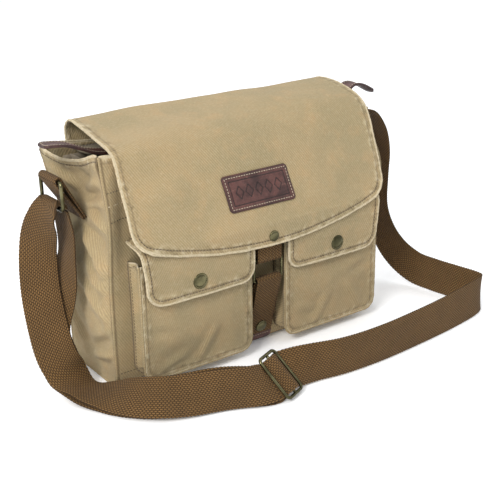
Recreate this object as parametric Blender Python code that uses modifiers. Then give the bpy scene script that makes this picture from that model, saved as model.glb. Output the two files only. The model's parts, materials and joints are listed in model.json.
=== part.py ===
"""Canvas messenger bag: a boxy body, two bellows pockets, a folding flap and a webbing shoulder strap.

Metres, +Z up. The bag stands on the plane z = 0 with the middle of its base at the origin, its front
faces -Y and +X is to the right of someone who looks at the front.
"""

from math import cos, pi, radians, sin

import bmesh
import bpy
from mathutils import Vector

# Body
HALF_WIDTH = 0.165
FRONT_Y = -0.050
FRONT_TOP_Y = -0.044
BACK_Y = 0.045
LEAN_START_Z = 0.170
PANEL_TOP_Z = 0.222
BASE_RADIUS = 0.015
CANVAS = 0.0025
GAP = 0.0003

# Zip across the mouth: the left half is closed, the right half is open
ZIP_HALF_LENGTH = 0.148
ZIP_Z = 0.2175
TAPE = 0.0016
CHAIN_HALF_WIDTH = 0.0042
CHAIN_HALF_SLOT = 0.0009
TAPE_OPEN_WIDTH = 0.0125
SLIDER_X = 0.004

# Flap: its outline in the YZ plane runs from the back seam over the top and down the front
FLAP_SEAM = (0.0478, 0.2215)
FLAP_CREASE = (-0.0440, 0.2310)
FLAP_TOP_PROFILE = [FLAP_SEAM, (0.0478, 0.2370), (0.0435, 0.2460), (0.0330, 0.2510),
                    (0.0120, 0.2515), (-0.0100, 0.2485), (-0.0300, 0.2410), (-0.0425, 0.2322)]
FLAP_FRONT_PROFILE = [(-0.0453, 0.2292), (-0.0535, 0.2150), (-0.0765, 0.1500), (-0.0795, 0.1400),
                      (-0.0795, 0.1180)]
FLAP_HALF_WIDTH = 0.151
FLAP_THICKNESS = 0.0016
FLAP_CORNER_RADIUS = 0.022
FLAP_CORNER_RISE = 0.014
CLOSURE_Z = 0.129

# Leather patch on the sloping front of the flap
PATCH_SIZE = (0.078, 0.036)
PATCH_THICKNESS = 0.0016
PATCH_CENTRE_X = -0.008
PATCH_CENTRE_Z = 0.175

# Bellows pockets
POCKET_INNER_X = 0.0215
POCKET_OUTER_X = 0.146
POCKET_BASE_Z = 0.010
POCKET_TOP_Z = 0.128
POCKET_FACE_Y = -0.072
POCKET_FACE = 0.002
POCKET_STRIP = 0.0018
POCKET_FLAP_OUTER_X = 0.1490
POCKET_FLAP_HINGE = (-0.0513, 0.1560)
POCKET_FLAP_PROFILE = [POCKET_FLAP_HINGE, (-0.0560, 0.1535), (-0.0680, 0.1460), (-0.0745, 0.1385),
                       (-0.0760, 0.1300), (-0.0760, 0.0870)]
POCKET_FLAP_CORNER = 0.014
SNAP_X = 0.085
SNAP_Z = 0.102

# Webbing, rings and closure strap
WEBBING = 0.0018
WIRE_RADIUS = 0.0018
RING_HALF_WIDTH = 0.022
RING_HEIGHT = 0.026
TAB_WIDTH = 0.036
LEFT_TAB_SEAM = (-0.1690, 0.1660)
LEFT_RING_TOP = (-0.1920, 0.2045)
RIGHT_TAB_SEAM = (0.1690, 0.1520)
RIGHT_RING_LOW = (0.1745, 0.1860)
RIGHT_RING_TOP = (0.1775, 0.2118)
CLOSURE_WIDTH = 0.030
CLOSURE_RING_HALF_WIDTH = 0.0172
CLOSURE_RING_TOP = (-0.0705, 0.1030)
CLOSURE_RING_LOW = (-0.0698, 0.0800)
CLOSURE_SEAM = (-0.0532, 0.0150)
CLOSURE_RIVET_Z = 0.024
CLOSURE_WIRE_RADIUS = 0.0016

# Shoulder strap
STRAP_WIDTH = 0.038
STRAP_LOOP_RADIUS = 0.0056
ADJUSTER_CENTRE = Vector((-0.045, -0.149, 0.0205))
ADJUSTER_ALONG = Vector((0.93, 0.36, 0.04)).normalized()
ADJUSTER_ACROSS = Vector((-0.36, 0.62, 0.70))
ADJUSTER_ACROSS = (ADJUSTER_ACROSS - ADJUSTER_ACROSS.dot(ADJUSTER_ALONG) * ADJUSTER_ALONG).normalized()
ADJUSTER_FACE = ADJUSTER_ALONG.cross(ADJUSTER_ACROSS)
ADJUSTER_HALF_LENGTH = 0.0225
ADJUSTER_HALF_WIDTH = 0.0125
ADJUSTER_WIRE_RADIUS = 0.0016

TURNED_STEPS = 18
OBJECT_NAME = "messenger_bag"


# ---------------------------------------------------------------- scene and materials

for old in list(bpy.data.objects):
    bpy.data.objects.remove(old, do_unlink=True)

parts = bpy.data.collections.new(OBJECT_NAME)
bpy.context.scene.collection.children.link(parts)

FINISHES = {
    "canvas": ((0.50, 0.40, 0.23), 0.90, 0.0),
    "lining": ((0.30, 0.25, 0.18), 0.90, 0.0),
    "webbing": ((0.155, 0.085, 0.037), 0.85, 0.0),
    "leather": ((0.095, 0.035, 0.030), 0.55, 0.0),
    "brass": ((0.20, 0.17, 0.09), 0.35, 1.0),
    "zip_tape": ((0.25, 0.20, 0.14), 0.90, 0.0),
}


def give_material(obj, finish):
    colour, roughness, metallic = FINISHES[finish]
    material = bpy.data.materials.new(obj.name)
    material.use_nodes = True
    shader = material.node_tree.nodes["Principled BSDF"]
    shader.inputs["Base Color"].default_value = (*colour, 1.0)
    shader.inputs["Roughness"].default_value = roughness
    shader.inputs["Metallic"].default_value = metallic
    material.diffuse_color = (*colour, 1.0)
    obj.data.materials.append(material)


def new_part(name, data, finish, joint=None):
    """Link a named part, give it its own material and hang it on its joint's empty."""
    obj = bpy.data.objects.new(name, data)
    parts.objects.link(obj)
    give_material(obj, finish)
    if joint:
        obj.parent = joint
        obj.matrix_parent_inverse = joint.matrix_world.inverted()
    return obj


def pivot(name, position, parent=None):
    """An empty on a joint's axis."""
    empty = bpy.data.objects.new(name, None)
    empty.empty_display_size = 0.01
    parts.objects.link(empty)
    empty.location = position
    bpy.context.view_layer.update()
    if parent:
        empty.parent = parent
        empty.matrix_parent_inverse = parent.matrix_world.inverted()
        bpy.context.view_layer.update()
    return empty


# ---------------------------------------------------------------- shape tools

def grid_mesh(name, rows):
    """An open sheet from rows of points, each row as long as the first."""
    mesh = bpy.data.meshes.new(name)
    columns = len(rows[0])
    faces = []
    for r in range(len(rows) - 1):
        for c in range(columns - 1):
            first = r * columns + c
            faces.append((first, first + 1, first + columns + 1, first + columns))
    mesh.from_pydata([point for row in rows for point in row], [], faces)
    return mesh


def sheet(name, rows, thickness, finish, joint=None, offset=0.0):
    """A sheet of even thickness around the given rows of points."""
    obj = new_part(name, grid_mesh(name, rows), finish, joint)
    solid = obj.modifiers.new("thickness", "SOLIDIFY")
    solid.thickness = thickness
    solid.offset = offset
    solid.use_even_offset = True
    return obj


def strip(name, profile, x_low, x_high, thickness, finish, joint=None):
    """A YZ outline carried straight along X."""
    rows = [[(x, y, z) for x in (x_low, x_high)] for y, z in profile]
    return sheet(name, rows, thickness, finish, joint)


def plate(name, outline, thickness, rotation, location, finish, joint=None):
    """A flat outline, given in its own XY, with a thickness along its own Z."""
    curve = bpy.data.curves.new(name, "CURVE")
    curve.dimensions = "2D"
    curve.fill_mode = "BOTH"
    curve.extrude = thickness / 2
    spline = curve.splines.new("POLY")
    spline.points.add(len(outline) - 1)
    for point, (x, y) in zip(spline.points, outline):
        point.co = (x, y, 0.0, 1.0)
    spline.use_cyclic_u = True
    obj = new_part(name, curve, finish)
    obj.rotation_euler = rotation
    obj.location = location
    if joint:
        bpy.context.view_layer.update()
        obj.parent = joint
        obj.matrix_parent_inverse = joint.matrix_world.inverted()
    return obj


def wire(name, points, radius, finish, joint=None, closed=False):
    """A round wire or bar through the points."""
    curve = bpy.data.curves.new(name, "CURVE")
    curve.dimensions = "3D"
    curve.bevel_depth = radius
    curve.bevel_resolution = 2
    curve.use_fill_caps = True
    spline = curve.splines.new("POLY")
    spline.points.add(len(points) - 1)
    for point, place in zip(spline.points, points):
        point.co = (*place, 1.0)
    spline.use_cyclic_u = closed
    return new_part(name, curve, finish, joint)


def turned(name, profile, location, finish, joint=None, tilt=0.0):
    """A round piece whose own +Z points forward, along -Y; the profile is (radius, height) pairs."""
    mesh = bpy.data.meshes.new(name)
    edges = [(i, i + 1) for i in range(len(profile) - 1)]
    if profile[0][0] > 0:
        edges.append((len(profile) - 1, 0))
    mesh.from_pydata([(radius, 0.0, height) for radius, height in profile], edges, [])
    obj = new_part(name, mesh, finish)
    screw = obj.modifiers.new("turn", "SCREW")
    screw.steps = TURNED_STEPS
    screw.render_steps = TURNED_STEPS
    screw.use_merge_vertices = True
    screw.merge_threshold = 0.00001
    screw.use_smooth_shade = True
    obj.rotation_euler = (pi / 2 + tilt, 0.0, 0.0)
    obj.location = location
    if joint:
        bpy.context.view_layer.update()
        obj.parent = joint
        obj.matrix_parent_inverse = joint.matrix_world.inverted()
    return obj


def box(name, low, high, finish, joint=None):
    """A rectangular block between two corners."""
    mesh = bpy.data.meshes.new(name)
    shape = bmesh.new()
    bmesh.ops.create_cube(shape, size=1.0)
    centre = (Vector(low) + Vector(high)) / 2
    size = Vector(high) - Vector(low)
    for vertex in shape.verts:
        vertex.co = centre + Vector(vertex.co[i] * size[i] for i in range(3))
    shape.to_mesh(mesh)
    shape.free()
    return new_part(name, mesh, finish, joint)


def arc(centre, radius, start, end, steps):
    """Points of an arc in a plane; angles in degrees, from the plane's first axis."""
    angles = [radians(start + (end - start) * i / steps) for i in range(steps + 1)]
    return [(centre[0] + radius * cos(a), centre[1] + radius * sin(a)) for a in angles]


def rounded_rectangle(half_x, half_y, radius, steps=4):
    corners = [(half_x, half_y, 0), (-half_x, half_y, 90), (-half_x, -half_y, 180), (half_x, -half_y, 270)]
    points = []
    for x, y, start in corners:
        inner = (x - radius if x > 0 else x + radius, y - radius if y > 0 else y + radius)
        points += arc(inner, radius, start, start + 90, steps)
    return points


def smooth_path(points, steps):
    """Points read from a smooth curve through the given ones."""
    points = [Vector(p) for p in points]
    ends = [2 * points[0] - points[1], *points, 2 * points[-1] - points[-2]]
    path = []
    for a, b, c, d in zip(ends, ends[1:], ends[2:], ends[3:]):
        for step in range(steps):
            t = step / steps
            path.append(0.5 * (2 * b + (c - a) * t + (2 * a - 5 * b + 4 * c - d) * t * t
                               + (3 * b - a - 3 * c + d) * t ** 3))
    path.append(points[-1])
    return path


def loop_round_bar(seam, bar, spread, radius, steps=8):
    """Outline of a doubled strap: up from its seam, round a bar, and back down to the seam."""
    seam, bar = Vector(seam), Vector(bar)
    along = (bar - seam).normalized()
    side = Vector((-along.y, along.x))
    points = [seam + side * spread]
    for step in range(steps + 1):
        turn = pi * step / steps
        points.append(bar + radius * (side * cos(turn) + along * sin(turn)))
    points.append(seam - side * spread)
    return [(p.x, p.y) for p in points]


# ---------------------------------------------------------------- body

def body_outline():
    """The bag's side view, counter-clockwise from the back of the base; its mouth dips in the middle."""
    base = arc((BACK_Y - BASE_RADIUS, BASE_RADIUS), BASE_RADIUS, -90, 0, 6)
    mouth = [(BACK_Y, 0.228), (0.030, 0.2205), (0.012, 0.2165), (-0.008, 0.2165), (-0.026, 0.2215),
             (FRONT_TOP_Y, 0.232)]
    front = [(FRONT_TOP_Y, PANEL_TOP_Z), (FRONT_Y, LEAN_START_Z)]
    toe = arc((FRONT_Y + BASE_RADIUS, BASE_RADIUS), BASE_RADIUS, 180, 270, 6)
    return base + mouth + front + toe


def make_body():
    end = HALF_WIDTH - CANVAS - GAP
    half = CANVAS / 2
    for side, name in ((-1, "left"), (1, "right")):
        plate("side_gusset_" + name, body_outline(), CANVAS, (pi / 2, 0.0, pi / 2),
              (side * (HALF_WIDTH - half), 0.0, 0.0), "canvas")
    front = [(FRONT_Y + half, BASE_RADIUS + GAP), (FRONT_Y + half, LEAN_START_Z),
             (FRONT_TOP_Y + half, PANEL_TOP_Z)]
    strip("front_panel", front, -end, end, CANVAS, "canvas")
    back = [(BACK_Y - half, BASE_RADIUS + GAP), (BACK_Y - half, PANEL_TOP_Z)]
    strip("back_panel", back, -end, end, CANVAS, "canvas")
    radius = BASE_RADIUS - half
    base = arc((FRONT_Y + BASE_RADIUS, BASE_RADIUS), radius, 180, 270, 6)
    base += arc((BACK_Y - BASE_RADIUS, BASE_RADIUS), radius, 270, 360, 6)
    strip("bottom_panel", base, -end, end, CANVAS, "canvas")


def make_lining():
    """An open-topped bag of thin cloth, a little inside the canvas."""
    cloth = 0.0008
    inset = CANVAS + 2 * GAP
    mesh = bpy.data.meshes.new("lining")
    shape = bmesh.new()
    bmesh.ops.create_cube(shape, size=1.0)
    low = Vector((-HALF_WIDTH + inset, FRONT_Y + inset, inset))
    high = Vector((HALF_WIDTH - inset, BACK_Y - inset, 0.2125))
    for vertex in shape.verts:
        vertex.co = Vector(high[i] if vertex.co[i] > 0 else low[i] for i in range(3))
        if vertex.co.z == high.z and vertex.co.y < 0:
            vertex.co.y = FRONT_TOP_Y + inset
    floor_edges = [e for e in shape.edges
                   if all(abs(v.co.z - low.z) < 1e-6 for v in e.verts)
                   and abs(e.verts[0].co.y - e.verts[1].co.y) < 1e-6]
    lid = max(shape.faces, key=lambda face: face.calc_center_median().z)
    bmesh.ops.delete(shape, geom=[lid], context="FACES_ONLY")
    bmesh.ops.bevel(shape, geom=floor_edges, offset=BASE_RADIUS - inset, segments=5, affect="EDGES",
                    profile=0.5)
    bmesh.ops.recalc_face_normals(shape, faces=shape.faces)
    shape.to_mesh(mesh)
    shape.free()
    obj = new_part("lining", mesh, "lining")
    solid = obj.modifiers.new("thickness", "SOLIDIFY")
    solid.thickness = cloth
    solid.offset = -1.0


# ---------------------------------------------------------------- zip

def make_zip():
    edge_front = FRONT_TOP_Y + CANVAS + 2 * GAP
    edge_back = BACK_Y - CANVAS - 2 * GAP
    for name, edge, toward in (("front", edge_front, 1), ("back", edge_back, -1)):
        inner = -toward * (CHAIN_HALF_WIDTH + GAP)
        open_edge = edge + toward * TAPE_OPEN_WIDTH
        outline = [(-ZIP_HALF_LENGTH, edge), (ZIP_HALF_LENGTH, edge), (ZIP_HALF_LENGTH, open_edge),
                   (0.036, open_edge), (0.008, inner), (-ZIP_HALF_LENGTH, inner)]
        if toward < 0:
            outline.reverse()
        plate("zip_tape_" + name, outline, TAPE, (0.0, 0.0, 0.0), (0.0, 0.0, ZIP_Z), "zip_tape")
        chain = sorted((-toward * CHAIN_HALF_SLOT, -toward * CHAIN_HALF_WIDTH))
        box("zip_teeth_" + name, (-ZIP_HALF_LENGTH + 0.004, chain[0], ZIP_Z - 0.0011),
            (SLIDER_X + 0.001, chain[1], ZIP_Z + 0.0011), "brass")
    box("zip_end_stop", (-ZIP_HALF_LENGTH + 0.001, -0.0035, ZIP_Z - 0.0014),
        (-ZIP_HALF_LENGTH + 0.0036, 0.0035, ZIP_Z + 0.0014), "brass")

    slide = pivot("zip_slide_axis", (SLIDER_X, 0.0, ZIP_Z))
    make_slider(slide)
    hinge_x, hinge_z = SLIDER_X - 0.002, ZIP_Z + 0.0052
    bail = pivot("zip_pull_axis", (hinge_x, 0.0, hinge_z), slide)
    outline = rounded_rectangle(0.0080, 0.0026, 0.0022)
    plate("zip_pull", outline, 0.0012, (0.0, 0.0, 0.0), (hinge_x + 0.0085, 0.0, hinge_z), "brass", bail)


def make_slider(joint):
    """Two wings above and below the chain, joined by a thin post that runs in the chain's slot."""
    mesh = bpy.data.meshes.new("zip_slider")
    shape = bmesh.new()
    lower, upper = ZIP_Z - 0.0032, ZIP_Z + 0.0032
    inner_low, inner_high = ZIP_Z - 0.0016, ZIP_Z + 0.0016
    wing = 0.0044
    post = CHAIN_HALF_SLOT - GAP
    section = [(-wing, inner_high), (-post, inner_high), (-post, inner_low), (-wing, inner_low),
               (-wing, lower), (wing, lower), (wing, inner_low), (post, inner_low), (post, inner_high),
               (wing, inner_high), (wing, upper), (-wing, upper)]
    face = shape.faces.new([shape.verts.new((SLIDER_X - 0.0055, y, z)) for y, z in section])
    pushed = bmesh.ops.extrude_face_region(shape, geom=[face])
    for vertex in (v for v in pushed["geom"] if isinstance(v, bmesh.types.BMVert)):
        vertex.co.x += 0.010
    bmesh.ops.recalc_face_normals(shape, faces=shape.faces)
    shape.to_mesh(mesh)
    shape.free()
    new_part("zip_slider", mesh, "brass", joint)


def make_zip_end_tabs():
    """Folded leather ends of the zip, which stand out past both gussets."""
    half_width = 0.010
    left = [(-0.136, 0.2205), (-0.150, 0.2225), (-0.163, 0.2275), (-0.178, 0.2325), (-0.198, 0.2345)]
    right = [(0.136, 0.2205), (0.148, 0.2250), (0.157, 0.2385), (0.167, 0.2455), (0.180, 0.2440),
             (0.198, 0.2350)]
    for name, line in (("left", left), ("right", right)):
        path = smooth_path([(x, 0.0, z) for x, z in line], 3)
        rows = [[(p.x, y, p.z) for y in (-half_width, half_width)] for p in path]
        sheet("zip_end_tab_" + name, rows, 0.0028, "leather")


# ---------------------------------------------------------------- flap and pockets

def draped_rows(profile, x_low, x_high, corner, rise, columns):
    """Rows of a hanging sheet whose lower corners are round and whose lower edge rises outwards."""
    lengths = [0.0]
    for a, b in zip(profile, profile[1:]):
        lengths.append(lengths[-1] + (Vector(b) - Vector(a)).length)
    middle, half = (x_low + x_high) / 2, (x_high - x_low) / 2
    xs = [middle - half * cos(pi * c / columns) for c in range(columns + 1)]

    def cut(x):
        out = abs(x - middle)
        trimmed = rise * (out / half) ** 2
        inside = out - (half - corner)
        if inside > 0:
            trimmed += corner - (corner ** 2 - inside ** 2) ** 0.5 if inside < corner else corner
        return trimmed

    rows = [[(x, y, z) for x in xs] for y, z in profile[:-1]]
    last = Vector(profile[-1])
    before = Vector(profile[-2])
    drop = (last - before).length
    fold = [Vector(p) for p in profile]
    for share in (0.5, 1.0):
        row = []
        for x in xs:
            point = last + (before - last) * (min(cut(x), drop * 0.98) / drop)
            point = fold[-2] + (point - fold[-2]) * share
            row.append((x, point.x, point.y))
        rows.append(row)
    return rows


def make_flap():
    hinge = pivot("flap_top_axis", (0.0, *FLAP_SEAM))
    crease = pivot("flap_front_axis", (0.0, *FLAP_CREASE), hinge)
    strip("flap_top_panel", FLAP_TOP_PROFILE, -FLAP_HALF_WIDTH, FLAP_HALF_WIDTH, FLAP_THICKNESS,
          "canvas", hinge)
    rows = draped_rows(FLAP_FRONT_PROFILE, -FLAP_HALF_WIDTH, FLAP_HALF_WIDTH, FLAP_CORNER_RADIUS,
                       FLAP_CORNER_RISE, 20)
    sheet("flap_front_panel", rows, FLAP_THICKNESS, "canvas", crease)

    upper, lower = Vector(FLAP_FRONT_PROFILE[1]), Vector(FLAP_FRONT_PROFILE[2])
    down = (lower - upper).normalized()
    outward = Vector((down.y, -down.x))
    centre = upper + (lower - upper) * ((upper.y - PATCH_CENTRE_Z) / (upper.y - lower.y))
    centre += outward * ((FLAP_THICKNESS + PATCH_THICKNESS) / 2 + GAP)
    tilt = Vector((0.0, 0.0, 1.0)).angle(Vector((0.0, outward.x, outward.y)))
    plate("leather_patch", rounded_rectangle(PATCH_SIZE[0] / 2, PATCH_SIZE[1] / 2, 0.004),
          PATCH_THICKNESS, (tilt, 0.0, 0.0), (PATCH_CENTRE_X, centre.x, centre.y), "leather", crease)

    face = FLAP_FRONT_PROFILE[-1][0]
    turned("closure_cap", dome(0.0056, 0.0020), (0.0, face - FLAP_THICKNESS / 2 - GAP, CLOSURE_Z), "brass",
           crease)
    turned("closure_magnet_flap", disc(0.0080, 0.0016),
           (0.0, face + FLAP_THICKNESS / 2 + GAP + 0.0016, CLOSURE_Z), "brass", crease)


def dome(radius, height):
    """A low dome, from the top of its crown to the middle of its flat back."""
    rim = height * 0.35
    steps = 4
    crown = [(radius * sin(pi / 2 * i / steps), rim + (height - rim) * cos(pi / 2 * i / steps))
             for i in range(steps + 1)]
    return crown + [(radius, 0.0), (0.0, 0.0)]


def disc(radius, height):
    return [(0.0, height), (radius - 0.0004, height), (radius, height - 0.0004), (radius, 0.0), (0.0, 0.0)]


def ring_disc(inner, outer, height):
    return [(inner, height), (outer, height), (outer, 0.0), (inner, 0.0)]


def pocket_strip_path(x_inner, x_outer, z_low, z_high, radius):
    """Middle line, in XZ, of the strip round a pocket's two sides and base."""
    left, right = min(x_inner, x_outer), max(x_inner, x_outer)
    path = [(left, z_high)]
    path += arc((left + radius, z_low + radius), radius, 180, 270, 5)
    path += arc((right - radius, z_low + radius), radius, 270, 360, 5)
    path.append((right, z_high))
    return path


def make_pocket(side, name):
    inner, outer = side * POCKET_INNER_X, side * POCKET_OUTER_X
    half = POCKET_STRIP / 2
    path = pocket_strip_path(inner + side * half, outer - side * half, POCKET_BASE_Z + half,
                             POCKET_TOP_Z, 0.012)
    y_front = POCKET_FACE_Y + POCKET_FACE + GAP
    rows = [[(x, y, z) for y in (FRONT_Y - GAP, y_front)] for x, z in path]
    sheet("pocket_gusset_" + name, rows, POCKET_STRIP, "canvas")

    low, high = min(inner, outer), max(inner, outer)
    outline = [(low, POCKET_TOP_Z)]
    outline += arc((low + 0.013, POCKET_BASE_Z + 0.013), 0.013, 180, 270, 5)
    outline += arc((high - 0.013, POCKET_BASE_Z + 0.013), 0.013, 270, 360, 5)
    outline.append((high, POCKET_TOP_Z))
    plate("pocket_face_" + name, outline, POCKET_FACE, (pi / 2, 0.0, 0.0),
          (0.0, POCKET_FACE_Y + POCKET_FACE / 2, 0.0), "canvas")

    hinge = pivot("pocket_flap_%s_axis" % name, (side * SNAP_X, *POCKET_FLAP_HINGE))
    ends = sorted((inner, side * POCKET_FLAP_OUTER_X))
    rows = draped_rows(POCKET_FLAP_PROFILE, ends[0], ends[1], POCKET_FLAP_CORNER, 0.0, 16)
    sheet("pocket_flap_" + name, rows, FLAP_THICKNESS, "canvas", hinge)

    flap_y = POCKET_FLAP_PROFILE[-1][0]
    x = side * SNAP_X
    turned("pocket_snap_cap_" + name, dome(0.0080, 0.0026),
           (x, flap_y - FLAP_THICKNESS / 2 - GAP, SNAP_Z), "brass", hinge)
    turned("pocket_snap_socket_" + name, ring_disc(0.0032, 0.0060, 0.0017),
           (x, flap_y + FLAP_THICKNESS / 2 + GAP + 0.0017, SNAP_Z), "brass", hinge)
    knob = [(0.0, 0.0018), (0.0018, 0.0018), (0.0023, 0.0013), (0.0019, 0.0005), (0.0055, 0.0005),
            (0.0055, 0.0), (0.0, 0.0)]
    turned("pocket_snap_stud_" + name, knob, (x, POCKET_FACE_Y - GAP, SNAP_Z), "brass")
    turned("pocket_snap_back_" + name, disc(0.0050, 0.0008),
           (x, POCKET_FACE_Y + POCKET_FACE + GAP + 0.0008, SNAP_Z), "brass")


# ---------------------------------------------------------------- closure strap

def rounded_loop(corner_a, corner_b, half_width, radius, width_axis):
    """Closed wire path: two bars through the corners' points, joined by sides along width_axis."""
    low, high = Vector(corner_a), Vector(corner_b)
    up = (high - low).normalized()
    half_height = (high - low).length / 2
    centre = (low + high) / 2
    flat = rounded_rectangle(half_width, half_height, radius, 3)
    return [centre + width_axis * u + up * v for u, v in flat]


def make_closure():
    across = Vector((1.0, 0.0, 0.0))
    top = Vector((0.0, *CLOSURE_RING_TOP))
    low = Vector((0.0, *CLOSURE_RING_LOW))
    wire("closure_ring", rounded_loop(low, top, CLOSURE_RING_HALF_WIDTH, 0.003, across),
         CLOSURE_WIRE_RADIUS, "brass", closed=True)

    half = CLOSURE_WIDTH / 2
    turn = CLOSURE_WIRE_RADIUS + GAP + 0.0002 + WEBBING / 2
    upper = loop_round_bar((CLOSURE_RING_TOP[0], 0.1420), CLOSURE_RING_TOP, turn, turn)
    strip("closure_webbing_upper", upper, -half, half, WEBBING, "webbing")
    magnet_y = CLOSURE_RING_TOP[0] - turn - WEBBING / 2 - GAP
    turned("closure_magnet_tab", disc(0.0080, 0.0014), (0.0, magnet_y, CLOSURE_Z), "brass")

    spread = 0.0011
    lower = loop_round_bar(CLOSURE_SEAM, CLOSURE_RING_LOW, spread, turn)
    strip("closure_webbing_lower", lower, -half, half, WEBBING, "webbing")
    seam = Vector(CLOSURE_SEAM)
    along = Vector(CLOSURE_RING_LOW) - seam
    share = (CLOSURE_RIVET_Z - seam.y) / along.y
    outward = Vector((-along.y, along.x)).normalized()
    outer_layer = spread + (turn - spread) * share + WEBBING / 2 + GAP
    rivet = seam + along * share + outward * outer_layer
    turned("closure_rivet_cap", dome(0.0066, 0.0022), (0.0, rivet.x, rivet.y), "brass",
           tilt=outward.y / outward.x)

    middle = (FRONT_Y + BASE_RADIUS, BASE_RADIUS)
    wrap = arc(middle, BASE_RADIUS + GAP + 0.0007, 195, 240, 5)
    strip("closure_leather_wrap", wrap, -0.018, 0.018, 0.0014, "leather")


# ---------------------------------------------------------------- strap rings and their tabs

def make_side(name, seam, bar, far_bar, joint_name):
    along_y = Vector((0.0, 1.0, 0.0))
    hinge = pivot(joint_name, (bar[0], 0.0, bar[1]))
    near, far = Vector((bar[0], 0.0, bar[1])), Vector((far_bar[0], 0.0, far_bar[1]))
    wire("strap_ring_" + name, rounded_loop(near, far, RING_HALF_WIDTH, 0.004, along_y), WIRE_RADIUS,
         "brass", hinge, closed=True)
    turn = WIRE_RADIUS + GAP + 0.0002 + WEBBING / 2
    outline = loop_round_bar(seam, bar, 0.0011, turn)
    half = TAB_WIDTH / 2
    rows = [[(x, y, z) for y in (-half, half)] for x, z in outline]
    sheet("side_tab_" + name, rows, WEBBING, "webbing")


# ---------------------------------------------------------------- shoulder strap

UP = Vector((0.0, 0.0, 1.0))
TOWARDS_FRONT = Vector((0.0, -1.0, 0.0))


# The stretch where the two runs lie one behind the other, from the left turn to the adjuster
DOUBLED_STRETCH = [
    (Vector((-0.2120, -0.0100, 0.0600)), Vector((0.82, -0.56, 0.05))),
    (Vector((-0.2105, -0.0210, 0.0370)), Vector((0.84, -0.44, 0.05))),
    (Vector((-0.2020, -0.0290, 0.0180)), Vector((0.92, -0.05, -0.05))),
    (Vector((-0.1950, -0.0440, 0.0088)), Vector((0.76, 0.50, -0.06))),
    (Vector((-0.1840, -0.0680, 0.0110)), Vector((0.55, 0.80, 0.16))),
    (Vector((-0.1725, -0.0950, 0.0165)), Vector((0.40, 0.62, 0.54))),
    (Vector((-0.1560, -0.1160, 0.0195)), Vector((0.16, 0.56, 0.78))),
    (Vector((-0.1330, -0.1280, 0.0190)), Vector((0.05, 0.48, 0.85))),
    (Vector((-0.1050, -0.1385, 0.0192)), Vector((-0.04, 0.36, 0.92))),
    (Vector((-0.0800, -0.1500, 0.0196)), Vector((-0.18, 0.38, 0.88))),
]
RUN_SPACING = 0.0050


def ribbon(name, stations, finish):
    """Flat webbing along stations of (middle point, direction from its lower to its upper edge)."""
    centres = smooth_path([s[0] for s in stations], 3)
    sides = smooth_path([s[1] for s in stations], 3)
    rows = []
    for centre, side in zip(centres, sides):
        reach = side.normalized() * STRAP_WIDTH / 2
        rows.append([centre - reach, centre + reach])
    sheet(name, [[tuple(p) for p in row] for row in rows], WEBBING, finish)


def adjuster_point(along, out):
    return ADJUSTER_CENTRE + ADJUSTER_ALONG * along + ADJUSTER_FACE * out


def arch(centre, radius, start, end, steps):
    """Points in the XZ plane at y = 0."""
    return [Vector((x, 0.0, z)) for x, z in arc(centre, radius, start, end, steps)]


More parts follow.
